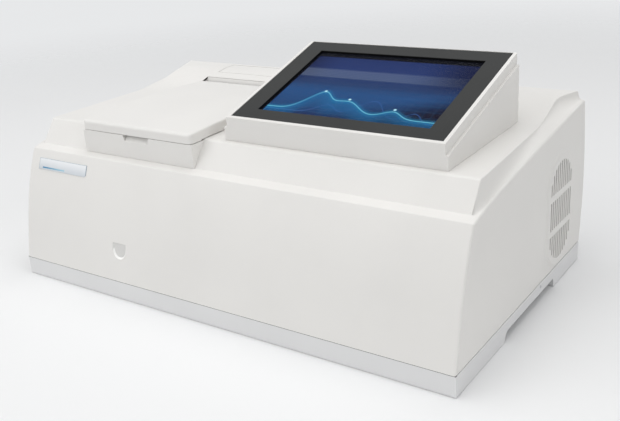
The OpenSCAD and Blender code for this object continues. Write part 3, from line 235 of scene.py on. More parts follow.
def rubberFinish(name, colour, rough=0.8, grain=600.0):
    m = Finish(name)
    pores = m.noise(grain, 4.0)
    dust = m.noise(22.0, 5.0)
    m.shade(m.vary(dust.step(0.5, 0.85), colour, 1.0, 2.0), rough + (dust - 0.5) * 0.15,
            {"Normal": m.bump(pores, 0.35, 0.0003)})


# Clear glass, let through by its alpha
def glassFinish(name, colour, alpha, rough):
    m = Finish(name)
    haze = m.noise(30.0)
    m.shade(m.vary(haze, colour, 1.0, 0.95), rough + haze * 0.04,
            {"Alpha": alpha})


def mirrorFinish(name, colour):
    m = Finish(name)
    haze = m.noise(60.0)
    m.shade(m.vary(haze, colour, 1.0, 0.95), 0.04 + haze * 0.04,
            {"Metallic": 1.0})


# Solder mask with runs of copper under it
def boardFinish(name, colour):
    m = Finish(name)
    black = (0, 0, 0)
    runs = m.node("TexBrick", {
        "Vector": m.place(), "Scale": 60.0, "Mortar Size": 0.03, "Mortar Smooth": 0.2, "Brick Width": 0.9,
        "Row Height": 0.22, "Color1": black, "Color2": black, "Mortar": (1, 1, 1)})
    m.shade(m.vary(runs, colour, 1.0, 1.7), 0.32 + m.noise(500.0) * 0.12,
            {"Coat Weight": 0.4, "Normal": m.bump(runs, 0.2, 0.0002)})


# Lathe-turned metal
def turnedFinish(name, colour):
    m = Finish(name)
    rings = m.node("TexWave",
                   {"Vector": m.place(), "Scale": 180.0, "Distortion": 0.4, "Detail": 2.0},
                   {"wave_type": "RINGS", "rings_direction": "Z"})
    m.shade(m.vary(m.noise(300.0), colour, 1.0, 0.9), 0.3 + rings * 0.1,
            {"Metallic": 1.0, "Normal": m.bump(rings, 0.08, 0.0002)})


# Finishes by the function that makes them: name, colour, and then what that function takes
finishLooks = {
    mouldedFinish: [
        ("warmWhiteShell", (0.78, 0.768, 0.745)), ("baseGreyWhite", (0.74, 0.742, 0.745), 0.5),
        ("linerBlack", (0.03, 0.03, 0.032), 0.55), ("fanBlack", (0.03, 0.03, 0.034), 0.45),
        ("connectorBlack", (0.022, 0.022, 0.024), 0.5), ("rockerRed", (0.42, 0.02, 0.02), 0.25, 0.5)],
    rubberFinish: [("rubberDark", (0.035, 0.035, 0.038)), ("foamBlack", (0.02, 0.02, 0.021), 0.95, 1600.0)],
    blastedFinish: [
        ("wellBlack", (0.03, 0.03, 0.033), 0.62, 0.2), ("opticsCast", (0.13, 0.135, 0.145), 0.5, 0.6),
        ("holderAnodised", (0.045, 0.048, 0.058), 0.42, 0.7),
        ("lampHouseAluminium", (0.42, 0.43, 0.44), 0.42, 0.9),
        ("pmtAluminium", (0.05, 0.053, 0.065), 0.45, 0.7),
        ("shutterBlack", (0.022, 0.022, 0.024), 0.6, 0.3)],
    brushedFinish: [
        ("hingeSteel", (0.52, 0.53, 0.54), 0.33, "x"), ("deckAluminium", (0.6, 0.61, 0.62), 0.34, "x"),
        ("supplyCase", (0.5, 0.51, 0.52), 0.38, "y"), ("coilBrass", (0.5, 0.34, 0.13), 0.3, "x"),
        ("portMetal", (0.62, 0.63, 0.65), 0.25, "z", 0.05)],
    turnedFinish: [("tableAluminium", (0.55, 0.56, 0.57))],
    coatedFinish: [("panelSteel", (0.56, 0.565, 0.575)), ("motorBlack", (0.04, 0.04, 0.043), 0.4)],
    glassFinish: [
        ("opticalGlass", (0.85, 0.92, 0.95), 0.35, 0.05), ("screenGlass", (0.06, 0.07, 0.09), 0.04, 0.2)],
    mirrorFinish: [("gratingMirror", (0.84, 0.87, 0.9))],
    boardFinish: [("boardGreen", (0.02, 0.16, 0.07))],
}

for makeFinish, looks in finishLooks.items():
    for look in looks:
        makeFinish(*look)


# Bare silver plate with a painted shade along its rim and one plain blue bar near its lower edge, all in
# metres
plateLook = {
    "middle": (-0.2405, 0.142), "half": (0.0425, 0.007), "rim": 0.0007, "rimGrey": (0.34, 0.41, 0.47),
    "silver": ((0.56, 0.60, 0.64), (0.80, 0.82, 0.84)), "silverZ": (0.1342, 0.1492),
    "barMiddle": (-0.2560, 0.1382), "barHalf": (0.020, 0.0008),
    "blue": ((0.04, 0.22, 0.40), (0.33, 0.55, 0.66)),
}


def plateFinish(look):
    m = Finish("plateSilver")
    x, _, z = m.split(m.place())
    streaks = m.noise(1.0, 3.0, m.mapped((8, 900, 900)))
    silver = m.mix(z.step(*look["silverZ"]), *look["silver"])
    # Painted shade: a thin darker line round the rim stands for the shade at the plate's edges
    across, up = ((axis - middle).size() > half - look["rim"]
                  for axis, middle, half in zip((x, z), look["middle"], look["half"]))
    silver = m.mix(across.most(up), silver, look["rimGrey"])
    up, across = ((axis - middle).size() < half
                  for axis, middle, half in zip((z, x), look["barMiddle"][::-1], look["barHalf"][::-1]))
    middle, half = look["barMiddle"][0], look["barHalf"][0]
    blue = m.mix(x.step(middle - half, middle + half), *look["blue"])
    m.shade(m.mix(up * across, silver, blue), 0.3 + streaks * 0.1,
            {"Metallic": 0.15, "Coat Weight": 0.4, "Normal": m.bump(streaks, 0.03, 0.0001)})


plateFinish(plateLook)


# Plug of the front port: grey, with a painted highlight on the lower slope round its foot; lengths in metres
plugLook = {"grey": (0.68, 0.675, 0.66), "pale": (0.97, 0.965, 0.95), "slope": (0.0084, 0.0089),
            "fade": (0.003, -0.001)}


def plugFinish(look, middleX, middleZ):
    m = Finish("portGrey")
    x, _, z = m.split(m.place())
    x, z = x - middleX, z - middleZ
    away = (x ** 2.0 + z ** 2.0) ** 0.5
    pores = m.noise(900.0, 2.0)
    # Painted highlight: the lower part of the slope round the foot is painted near white
    slope = away.step(*look["slope"]) * z.step(*look["fade"])
    m.shade(m.mix(slope, look["grey"], look["pale"]), 0.5 + (pores - 0.5) * 0.12,
            {"Normal": m.bump(pores, 0.1, 0.0002)})


# Charcoal surround of the display, black down the walls of its window
bezelLook = {"charcoal": ((0.024, 0.025, 0.0245), (0.029, 0.030, 0.0295)), "wall": (0.002, 0.002, 0.002),
             "wallDepth": (-0.0002, -0.0006)}


def bezelFinish(look, tilt, faceHeight):
    m = Finish("bezelCharcoal")
    _, y, z = m.split(m.place())
    height = z * math.cos(tilt) - y * math.sin(tilt) - faceHeight
    pores = m.noise(1500.0, 2.0)
    charcoal = m.mix(m.noise(9.0).step(0.3, 0.7), *look["charcoal"])
    m.shade(m.mix(height.step(*look["wallDepth"]), charcoal, look["wall"]), 0.45 + (pores - 0.5) * 0.12,
            {"Specular IOR Level": 0.15, "Normal": m.bump(pores, 0.2, 0.0002)})


# Lit display on its own map: a field of blues, a pale band, and two emission curves over a grid.
# Each peak is its middle, width and height, and other pairs are where a shade starts and ends.
displayLook = {
    "field": [(0.0, (0.010, 0.018, 0.075)), (0.15, (0.013, 0.055, 0.17)), (0.38, (0.017, 0.075, 0.225)),
              (0.52, (0.018, 0.045, 0.14)), (0.76, (0.017, 0.037, 0.15)), (1.0, (0.012, 0.028, 0.12))],
    "cornerDark": (0.003, 0.004, 0.028), "lowDark": (0.004, 0.002, 0.013), "gridBlue": (0.02, 0.15, 0.34),
    "peaks": [(0.27, 0.085, 0.26), (0.45, 0.12, 0.17), (0.74, 0.07, 0.09)], "floor": 0.10,
    "faint": [(0.36, 0.07, 0.13), (0.60, 0.10, 0.24), (0.86, 0.06, 0.12)], "faintFloor": 0.07,
    "faintBlue": (0.05, 0.16, 0.5), "fillBlue": (0.012, 0.15, 0.36), "glowBlue": (0.02, 0.26, 0.52),
    "curveBlue": (0.16, 0.60, 0.80), "line": (0.006, 0.002), "fill": (0.30, 0.0), "glow": (0.05, 0.0),
    "gridU": 20.0, "gridV": 13.0, "gridTop": (0.57, 0.45), "tickTall": 0.018, "tickBlue": (0.12, 0.4, 0.6),
    "bandLow": (0.60, 0.615), "bandHigh": (0.75, 0.73), "bandPale": (0.40, 0.50, 0.64), "bandStripes": 40.0,
    "dotRound": (0.016, 0.008), "dotLift": 0.03, "dotPale": (0.5, 0.85, 0.95), "flat": 2.35,
    "edges": (0.012, 0.992, 0.008, 0.94), "edgeBlack": (0.001, 0.001, 0.002),
    "offBlack": (0.004, 0.004, 0.006),
}


def displayFinish(look):
    m = Finish("screenBlue")
    uv = m.node("UVMap", settings={"uv_map": "screenMap"})
    u, v, _ = m.split(uv)
    # Distance to the nearest of evenly spaced lines, as a share of their pitch
    def toLine(axis, count):
        return (axis * count).part().pingPong(0.5)

    def trace(peaks, floor):
        curve = floor
        for middle, width, tall in peaks:
            curve = math.e ** (((u - middle) / width) ** 2.0 * -1.0) * tall + curve
        return curve - v

    corners = (u - 0.45).size().step(0.22, 0.56) * v.step(0.42, 0.7)
    lowRight = ((u - 0.55) * 1.2 + (0.3 - v) * 1.6).step(0.1, 0.7)
    grid = [toLine(axis, count).step(0.06, 0.0) for axis, count in ((u, look["gridU"]), (v, look["gridV"]))]
    second = trace(look["faint"], look["faintFloor"])
    under = trace(look["peaks"], look["floor"])
    ticks = toLine(u, look["gridU"]).step(0.10, 0.04)
    band = v.step(*look["bandLow"]) * v.step(*look["bandHigh"])
    stripes = (v * look["bandStripes"]).part().step(0.4, 0.6)
    lit = m.node("ValToRGB", {"Fac": v}, {"stops": look["field"]})
    for share, colour in (
            (corners * 0.85, "cornerDark"), (lowRight, "lowDark"),
            (grid[0].most(grid[1]) * v.step(*look["gridTop"]) * 0.3, "gridBlue"),
            (second.size().step(*look["line"]) * 0.6, "faintBlue"),
            (under.step(0.0, 0.02) * under.step(*look["fill"]) * 0.6, "fillBlue"),
            (under.size().step(*look["glow"]) * 0.45, "glowBlue"),
            (under.size().step(*look["line"]), "curveBlue"),
            (ticks * v.step(look["tickTall"] * 2.0, look["tickTall"]) * 0.6, "tickBlue"),
            (band * (stripes * 0.08 + 0.10) * u.step(1.15, 0.55), "bandPale")):
        lit = m.mix(share, lit, look[colour])
    for middle, _, tall in look["peaks"]:
        up = v - (tall + look["floor"] + look["dotLift"])
        far = ((u - middle) ** 2.0 * look["flat"] + up ** 2.0) ** 0.5
        lit = m.mix(far.step(*look["dotRound"]), lit, look["dotPale"])
    left, right, low, high = look["edges"]
    outside = (u < left).most(u > right).most(v < low).most(v > high)
    m.shade(look["offBlack"], 0.4 + outside * 0.2,
            {"IOR": 1.03, "Emission Color": m.mix(outside, lit, look["edgeBlack"]),
             "Emission Strength": 1.0})


displayFinish(displayLook)


# Forms of the case

form = {
    "halfWidth": 300.0, "rearT": 338.0, "plinthTop": 23.5, "wall": 4.0,
    "frontLean": 0.19, "frontBow": 13.35, "ledgeFrontZ": 158.5, "ledgeRise": 40.0, "ledgeT": 39.0,
    "ledgePower": 0.75, "rearBulge": 10.0, "rearLowZ": 5.0, "rearHighZ": 200.0,
    "slopeLowT": 50.0, "slopeLowZ": 161.86, "slopeTopT": 70.4, "slopeTopZ": 189.7, "drift": 0.0131,
    "riseRear": 15.2, "riseStart": 232.0, "riseEnd": 318.0,
    "coverHalf": 292.0, "coverEnd": 337.0, "waist": 12.0, "waistStart": 75.0, "waistEnd": 300.0,
    "waistPower": 1.3, "coveOut": 297.2,
    "lidRearZ": 199.3, "lidCrown": 4.0, "crownStart": 20.0, "lidEnd": 266.0, "portX": -134.0, "portZ": 60.5,
    "tilt": 16.4, "displayX": -4.6, "displayT": 81.2, "displayZ": 217.0,
}

tilt = math.radians(form["tilt"])
faceHeight = form["displayZ"] * math.cos(tilt) - (form["displayT"] + frontY) * math.sin(tilt)
bezelFinish(bezelLook, tilt, faceHeight * mm)
plugFinish(plugLook, form["portX"] * mm, form["portZ"] * mm)


def ledgeZ(t):
    share = max(0.0, t - form["ledgeT"]) / (form["rearT"] - form["ledgeT"])
    return form["ledgeFrontZ"] + form["ledgeRise"] * share ** form["ledgePower"]


def frontT(z):
    up = z - form["plinthTop"]
    share = max(0.0, up / (form["ledgeFrontZ"] - form["plinthTop"]))
    return form["frontLean"] * up + form["frontBow"] * share ** 3


def rearT(z):
    share = (z - form["rearLowZ"]) / (form["rearHighZ"] - form["rearLowZ"])
    return form["rearT"] + form["rearBulge"] * max(0.0, math.sin(math.pi * share))


def coverZ(t):
    share = min(1.0, max(0.0, (t - form["riseStart"]) / (form["riseEnd"] - form["riseStart"])))
    ease = (1 - math.cos(math.pi * share)) / 2
    return form["slopeTopZ"] + form["drift"] * (t - form["slopeTopT"]) + form["riseRear"] * ease


def coverX(t):
    if t < form["waistEnd"]:
        share = max(0.0, t - form["waistStart"]) / (form["waistEnd"] - form["waistStart"])
        return form["coverHalf"] - form["waist"] * share
    share = min(1.0, (t - form["waistEnd"]) / (form["coverEnd"] - form["waistEnd"]))
    return form["coverHalf"] - form["waist"] * (1 - share ** form["waistPower"])


def lidZ(t):
    share = (t - form["crownStart"]) / (form["lidEnd"] - form["crownStart"])
    return form["lidRearZ"] + form["lidCrown"] * math.sin(math.pi * share)


def displayZ(t):
    return form["displayZ"] + (t - form["displayT"]) * math.tan(tilt)


def spread(a, b, count):
    return [a + (b - a) * i / count for i in range(count + 1)]


def widened(pair, by):
    return (pair[0] - by, pair[1] + by)


def within(value, pair, slack=0.0):
    return pair[0] - slack < value < pair[1] + slack


# Arc of the given radius that rounds the corner b between the lines a-b and b-c
def softCorner(a, b, c, radius, count):
    a, b, c = (Vector(p) for p in (a, b, c))
    back = (a - b).normalized()
    ahead = (c - b).normalized()
    half = back.angle(ahead) / 2
    middle = b + (back + ahead).normalized() * (radius / math.sin(half))
    start, end = (b + way * (radius / math.tan(half)) - middle for way in (back, ahead))
    turn = start.angle(end)
    points = []
    for i in range(count + 1):
        share = i / count
        mixed = start * math.sin((1 - share) * turn) + end * math.sin(share * turn)
        points.append(tuple(middle + mixed / math.sin(turn)))
    return points


# Arc that rounds an upper edge, from the side at x to the top at z
def upperEdge(x, z, radius, count):
    angles = spread(0, math.pi / 2, count)
    return [(x - radius + radius * math.cos(a), z - radius + radius * math.sin(a)) for a in angles]


# How far a round end has dropped, at a distance in from its tip
def roundDrop(radius, distance):
    near = max(0.0, radius - distance)
    return radius - math.sqrt(radius ** 2 - near ** 2)


# Ring of (x, t, z) points from the (x, z) points of its right half
def bothSides(half, t, middle=0.0):
    return [(middle + x, t, z) for x, z in half] + [(middle - x, t, z) for x, z in half[::-1]]


# Closed outline moved inwards; it runs clockwise seen from the right
def insetOutline(points, distance):
    moved = []
    count = len(points)
    for i in range(count):
        before, here, after = (Vector(points[(i + k) % count]) for k in (-1, 0, 1))
        first = (here - before).normalized()
        second = (after - here).normalized()
        normal = Vector((first.y + second.y, -first.x - second.x)).normalized()
        moved.append(tuple(here + normal * (distance / max(0.3, normal.dot(Vector((second.y, -second.x)))))))
    return moved


# Mesh helpers

# Point of the part's frame in metres
def inFrame(x, t, z):
    return x * mm, (t + frontY) * mm, z * mm


# Loft through rings of equal length in metres, joined end to end or closed by caps
def loft(name, rings, joined=False):
    count = len(rings[0])
    total = len(rings)
    faces = [] if joined else [tuple(range(count))[::-1]]
    for i in range(total if joined else total - 1):
        k = (i + 1) % total
        for j in range(count):
            n = (j + 1) % count
            faces.append((i * count + j, i * count + n, k * count + n, k * count + j))
    if not joined:
        faces.append(tuple(range((total - 1) * count, total * count)))
    shape = bmesh.new()
    corners = [shape.verts.new(point) for ring in rings for point in ring]
    for face in faces:
        shape.faces.new([corners[i] for i in face])
    bmesh.ops.recalc_face_normals(shape, faces=shape.faces)
    mesh = bpy.data.meshes.new(name)
    shape.to_mesh(mesh)
    shape.free()
    return newObject(name, mesh)


# Loft through rings of (x, t, z) points
def caseLoft(name, rings):
    return loft(name, [[inFrame(*point) for point in ring] for ring in rings])


# Slab with a side outline of (t, z) points, between two x
def sideSlab(name, outline, xs):
    return caseLoft(name, [[(x, t, z) for t, z in outline] for x in xs])


def block(xs, ts, zs, name="cutter"):
    return sideSlab(name, [(ts[0], zs[0]), (ts[0], zs[1]), (ts[1], zs[1]), (ts[1], zs[0])], xs)


# Upright oval of the given width and height, as (t, z) points round (t0, z0)
def oval(t0, z0, wide, tall, count=16):
    points = []
    for lift, start in ((tall / 2 - wide / 2, 0.0), (wide / 2 - tall / 2, math.pi)):
        for i in range(count + 1):
            angle = start + math.pi * i / count
            points.append((t0 + wide / 2 * math.cos(angle), z0 + lift + wide / 2 * math.sin(angle)))
    return points


# The evaluated mesh of a piece, as a plain mesh with no modifiers
def settled(piece):
    graph = bpy.context.evaluated_depsgraph_get()
    mesh = bpy.data.meshes.new_from_object(piece.evaluated_get(graph), depsgraph=graph)
    name = piece.name
    bpy.data.objects.remove(piece)
    mesh.name = name
    return newObject(name, mesh)


def combined(piece, others, operation="DIFFERENCE"):
    for other in others:
        step = piece.modifiers.new("combine", "BOOLEAN")
        step.operation = operation
        step.object = other
        step.solver = "EXACT"
    piece = settled(piece)
    for other in others:
        bpy.data.objects.remove(other)
    return piece


# Rounds the edges that turn by more than the least angle and lie where chosen says
def roundEdges(piece, width, segments=2, chosen=None, least=35.0):
    shape = bmesh.new()
    shape.from_mesh(piece.data)
    bmesh.ops.remove_doubles(shape, verts=shape.verts, dist=1e-6)
    bmesh.ops.dissolve_limit(shape, angle_limit=math.radians(0.3), verts=shape.verts, edges=shape.edges)
    edges = []
    for edge in shape.edges:
        middle = (edge.verts[0].co + edge.verts[1].co) / 2 / mm
        where = (middle.x, middle.y - frontY, middle.z)
        turned = edge.is_manifold and edge.calc_face_angle() > math.radians(least)
        if turned and (not chosen or chosen(*where)):
            edges.append(edge)
    bmesh.ops.bevel(shape, geom=edges, offset=width * mm, segments=segments, profile=0.5, affect="EDGES",
                    clamp_overlap=True)
    shape.to_mesh(piece.data)
    shape.free()
    return piece


# Smooth shading where large faces keep their own direction
def shaded(piece, sharp=38.0):
    piece.data.shade_smooth()
    piece.data.set_sharp_from_angle(angle=math.radians(sharp))
    even = piece.modifiers.new("even", "WEIGHTED_NORMAL")
    even.keep_sharp = True
    even.weight = 80
    return settled(piece)


def slotFinish(slot):
    first, *rest = slot.split("_")
    return finishes[first + "".join(word.capitalize() for word in rest)]


def coat(piece, slot):
    piece.data.materials.clear()
    piece.data.materials.append(slotFinish(slot))


nodeSlot = {row["node"]: row["material_slot"] for row in frame["record"]["subparts"]}
nodeBody = {node: body for body, nodes in frame["record"]["behaviour"]["bodies"].items() for node in nodes}

for name, piece in frame["nodes"].items():
    coat(piece, nodeSlot[name])


# Stands for the named nodes, with the first one's finish and body
def dressed(piece, *nodes):
    slot = nodeSlot[nodes[0]]
    coat(piece, slot)
    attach(piece, nodeBody[nodes[0]])
    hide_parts(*nodes)


# Case: one shell with soft edges, open to the top, the rear and the bottom

caseShape = {
    "sideRound": 2.5, "edgeRound": 2.6, "flangeT": 327.0,
    # Half width, t and z of the openings in the roof and the rear, and of the rear panel's rebate
    "openings": [(270.0, (60.0, 315.0), (140.0, 210.0)), (280.0, (326.0, 349.0), (32.5, 186.5)),
                 (288.5, (331.0, 349.0), (26.0, 195.0))],
    "grilleT": 263.0, "grilleZ": 93.0, "recess": (76.0, 130.0), "recessRound": 1.6,
    "portRound": 10.5, "portUp": 8.5, "portTaper": 1.7, "portLift": 0.9, "portDeep": 2.8, "portShallow": 0.6,
    "portEdge": 0.3, "plugEdge": 0.12, "portHole": (-0.5, 12.0), "plugGap": 0.03, "plugSide": (0.2, 6.0),
    "riseTs": (45, 52, 60, 70, 85, 100, *spread(118, form["rearT"] - 6, 12)),
}


def caseOutline():
    top = form["ledgeFrontZ"]
    front = [(frontT(z), z) for z in spread(form["plinthTop"], top - 4, 16)]
    rise = [(t, ledgeZ(t)) for t in caseShape["riseTs"]]
    back = [(rearT(z), z) for z in spread(ledgeZ(form["rearT"]) - 5, form["plinthTop"], 12)]
    frontEdge = softCorner(front[-1], (form["ledgeT"], top), rise[0], caseShape["edgeRound"], 4)
    rearCorner = (form["rearT"], ledgeZ(form["rearT"]))
    rearEdge = softCorner(rise[-1], rearCorner, back[0], caseShape["edgeRound"], 4)
    return front + frontEdge + rise + rearEdge + back


def innerOutline():
    wall = form["wall"]
    low = form["plinthTop"] - 2
    front = [(frontT(z) + wall, z) for z in spread(low, form["ledgeFrontZ"] - wall, 12)]
    roof = [(t, ledgeZ(t) - wall) for t in spread(form["ledgeT"] + wall + 1, caseShape["flangeT"], 12)]
    return front + roof + [(caseShape["flangeT"], low)]


# Ring of the port, round with a flat top; shallow and deepest are its depths at the top and the foot
def portRing(shrink, shallow, deepest, lift=0.0):
    s = caseShape
    radius = s["portRound"] - shrink
    z = form["portZ"]
    lean = math.atan2(frontT(z + 1) - frontT(z - 1), 2)
    outline = [(radius * math.cos(a), radius * math.sin(a)) for a in spread(-math.pi, 0, 20)]
    outline += [(across, s["portUp"] - shrink) for across in (radius, -radius)]
    ring = []
    for across, up in outline:
        share = (up + s["portRound"]) / (s["portUp"] + s["portRound"])
        deep = deepest + (shallow - deepest) * share
        up += lift
        ring.append((form["portX"] + across, frontT(z) + up * math.sin(lean) + deep * math.cos(lean),
                     z + up * math.cos(lean) - deep * math.sin(lean)))
    return ring


def makeCase():
    s = caseShape
    outline = caseOutline()
    half = form["halfWidth"]
    wall = form["wall"]
    radius = s["sideRound"]
    rings = []
    for angle in spread(0, math.pi / 2, 4):
        inset = insetOutline(outline, radius * (1 - math.sin(angle)))
        rings.append([(half - radius + radius * math.cos(angle), t, z) for t, z in inset])
    mirrored = [[(-x, t, z) for x, t, z in ring] for ring in rings]
    shell = caseLoft("caseShell", mirrored + rings[::-1])
    cutters = [sideSlab("cutter", innerOutline(), (-half + wall, half - wall))]
    cutters += [block((-wide, wide), ts, zs) for wide, ts, zs in s["openings"]]
    cutters.append(caseLoft("cutter", [portRing(0, deep, deep) for deep in s["portHole"]]))
    recess = oval(s["grilleT"], s["grilleZ"], *s["recess"])
    cutters += [sideSlab("cutter", recess, (x, x + wall + 2)) for x in (half - wall - 1, -half - 1)]
    shell = combined(shell, cutters)

    def atRecess(x, t, z):
        wide, tall = (size / 2 + 1 for size in s["recess"])
        return abs(x) > half - 0.5 and abs(t - s["grilleT"]) < wide and abs(z - s["grilleZ"]) < tall

    def atPort(x, t, z):
        reach = s["portRound"] + 1
        return max(abs(x - form["portX"]), abs(z - form["portZ"])) < reach and t < frontT(z) + 1

    roundEdges(shell, s["recessRound"], 4, atRecess)
    roundEdges(shell, s["portEdge"], 2, atPort, 20)
    dressed(shaded(shell), "housing")
    face = portRing(s["portTaper"], s["portShallow"], s["portDeep"], s["portLift"])
    plug = caseLoft("portPlug", [face] + [portRing(s["plugGap"], deep, deep) for deep in s["plugSide"]])
    dressed(shaded(roundEdges(plug, s["plugEdge"])), "front_port_plug")


makeCase()
print("case")


# Top cover: one loft from the foot of the slope to the rear edge, with hollow sides

coverShape = {
    "lift": -0.06, "footRound": 1.6, "slopeRound": 5.0, "rearRound": 2.0, "edgeRound": 1.1, "roof": 3.0,
    "slopeRoof": 5.5, "slopeFoot": 8.0, "slotEdge": 0.8,
    "samples": (*spread(80, 224, 12), *spread(232, 328, 24), 332.0),
    "slotX": (-212.0, -37.0), "slotT": (243.0, 281.0), "slotZ": 172.0, "lip": 2.5, "rimDrop": 0.6,
    "rampLong": 6.0, "rampDrops": (1.0, 9.0),
    "wellX": (-205.0, -44.0), "wellT": (73.0, 238.0), "below": 150.0, "above": 220.0,
    "accessX": (-203.9, -39.1), "accessT": (295.1, 329.9), "accessDeep": 1.9, "accessLip": 4.9,
}


# Outline of the cover in the middle, from the ledge in front up the slope and back, as (t, z)
def coverLine():
    s = coverShape
    low = form["slopeLowT"]
    slopeFoot = (low, ledgeZ(low) + s["lift"])
    slopeTop = (form["slopeTopT"], form["slopeTopZ"])
    end = (form["coverEnd"], coverZ(form["coverEnd"]))
    line = softCorner((46.0, ledgeZ(46.0) + s["lift"]), slopeFoot, slopeTop, s["footRound"], 5)
    slant = (slopeTop[1] - slopeFoot[1]) / (slopeTop[0] - low)
    line += [(low + s["slopeFoot"], ledgeZ(low) + s["slopeFoot"] * slant)]
    line += softCorner(slopeFoot, slopeTop, (90.0, coverZ(90.0)), s["slopeRound"], 8)
    line += [(t, coverZ(t)) for t in s["samples"]]
    return line + softCorner(line[-1], end, (end[0], end[1] - 5), s["rearRound"], 4)


def coverRing(t, top):
    s = coverShape
    foot = min(ledgeZ(t) + s["lift"], top - 0.02)
    tall = top - foot
    edge = min(s["edgeRound"], 0.4 * tall)
    side = coverX(t)
    out = form["coveOut"]
    under = foot + 0.01
    if form["slopeLowT"] + s["slopeFoot"] < t < form["coverEnd"] - s["roof"]:
        under = max(under, top - s["roof" if t > form["slopeTopT"] else "slopeRoof"])
    half = [(side - s["roof"], under), (side - s["roof"], foot), (out, foot)]
    for angle in spread(math.pi / 2, 0, 7)[1:]:
        half.append((out - (out - side) * math.cos(angle), top - edge - (tall - edge) * math.sin(angle)))
    return bothSides(half + upperEdge(side, top, edge, 4)[1:], t)


def makeCover():
    s = coverShape
    above = s["above"]
    cover = caseLoft("topCover", [coverRing(t, z) for t, z in coverLine()])
    band = [(t, coverZ(t) - s["accessDeep"]) for t in spread(*s["accessT"], 8)]
    band += [(t, coverZ(t) + 3) for t in spread(*s["accessT"][::-1], 8)]
    lip = s["accessLip"]
    cover = combined(cover, [
        block(s["slotX"], s["slotT"], (s["slotZ"], above)),
        block(s["wellX"], s["wellT"], (s["below"], above)),
        sideSlab("cutter", band, s["accessX"]),
        block(widened(s["accessX"], -lip), widened(s["accessT"], -lip), (s["below"], above)),
    ])

    # All but the slot's front edge, which the lid hides
    def atSlot(x, t, z):
        return within(x, s["slotX"], 1) and within(t - 1, s["slotT"]) and z > coverZ(t) - 0.5

    dressed(shaded(roundEdges(cover, s["slotEdge"], 3, atSlot, 50)), "top_cover")
    start, end = s["slotT"]
    first, last = widened(s["slotT"], s["lip"])
    foot = s["slotZ"] - s["lip"]
    rim = [(t, coverZ(t) - s["rimDrop"]) for t in spread(first, last, 8)]
    trough = sideSlab("slotTrough", [(last, foot), (first, foot)] + rim, widened(s["slotX"], s["lip"]))
    high, low = (coverZ(end) - drop for drop in s["rampDrops"])
    ramp = end - s["rampLong"]
    hollow = [(start, s["slotZ"]), (start, above), (end + 1, above), (end, high), (ramp, low),
              (ramp, s["slotZ"])]
    dressed(shaded(combined(trough, [sideSlab("cutter", hollow, s["slotX"])])), "top_cover")


makeCover()
print("cover")


# Sample lid: a crowned shell, round at the front and along the sides

lidShape = {"x": (-211.0, -38.0), "t": (48.5, form["lidEnd"]), "low": 189.3, "clear": 0.6, "rim": 4.0,
            "frontRound": 4.0, "cornerRound": 5.0, "sideRound": 2.2, "rearRound": 1.5, "wall": 2.5,
            "samples": (62.0, *spread(80, 262, 16))}


def lidRing(t):
    s = lidShape
    start, end = s["t"]
    front = t - start
    top = lidZ(max(t, start + s["frontRound"])) - roundDrop(s["frontRound"], front)
    top -= roundDrop(s["rearRound"], end - t)
    half = (s["x"][1] - s["x"][0]) / 2 - roundDrop(s["cornerRound"], front)
    low = s["low"] if t < form["slopeTopT"] - s["rim"] else coverZ(t) + s["clear"]
    under = top - s["wall"] if within(t, s["t"], -s["wall"]) else low + 0.01
    side = [(half - s["wall"], under), (half - s["wall"], low), (half - 0.5, low), (half, low + 0.5)]
    side += upperEdge(half, top, min(s["sideRound"], 0.45 * (top - low)), 5)
    return bothSides(side, t, sum(s["x"]) / 2)


def makeLid():
    s = lidShape
    start, end = s["t"]
    wall = s["wall"]
    rim = form["slopeTopT"] - s["rim"]
    ts = [start + s["frontRound"] * (1 - math.cos(a)) for a in spread(0, math.pi / 2, 9)]
    ts += [start + wall - 0.01, start + wall + 0.01, rim - 0.1, rim + 0.1, form["slopeTopT"], *s["samples"]]
    ts += [end - wall - 0.01, end - wall + 0.01, end - 1.5, end - 0.8, end - 0.3, end]
    dressed(shaded(caseLoft("lidShell", [lidRing(t) for t in sorted(ts)]), 50), "sample_lid")


makeLid()


# Fixed front below the lid, with a slanted scoop for the fingers
scoopShape = {"low": 188.7, "middle": -124.0, "halfWide": 21.0, "halfFoot": 17.5, "tall": 8.0, "deep": 5.5,
              "rearTall": 1.6, "edge": 0.6}


def makeCompartment():
    s = scoopShape
    t0 = lidShape["t"][0]
    slope = (form["slopeTopT"] - form["slopeLowT"]) / (form["slopeTopZ"] - form["slopeLowZ"])
    outline = [(t0, ledgeZ(t0) + 0.2), (t0, s["low"]),
               (form["slopeLowT"] + (s["low"] - form["slopeLowZ"]) * slope, s["low"]),
               (form["slopeLowT"], form["slopeLowZ"])]
    front = sideSlab("compartmentFront", outline, lidShape["x"])
    wide = s["halfWide"]
    scoop = []
    for t, foot, tall in ((t0 - 0.5, s["halfFoot"], s["tall"]), (t0 + s["deep"], wide, s["rearTall"])):
        scoop.append([(s["middle"] + across, t, s["low"] + up)
                      for across, up in ((-wide, 1), (wide, 1), (foot, -tall), (-foot, -tall))])
    front = combined(front, [caseLoft("cutter", scoop)])
    dressed(shaded(roundEdges(front, s["edge"], 3, least=50)), "compartment_front")


makeCompartment()
print("lid")
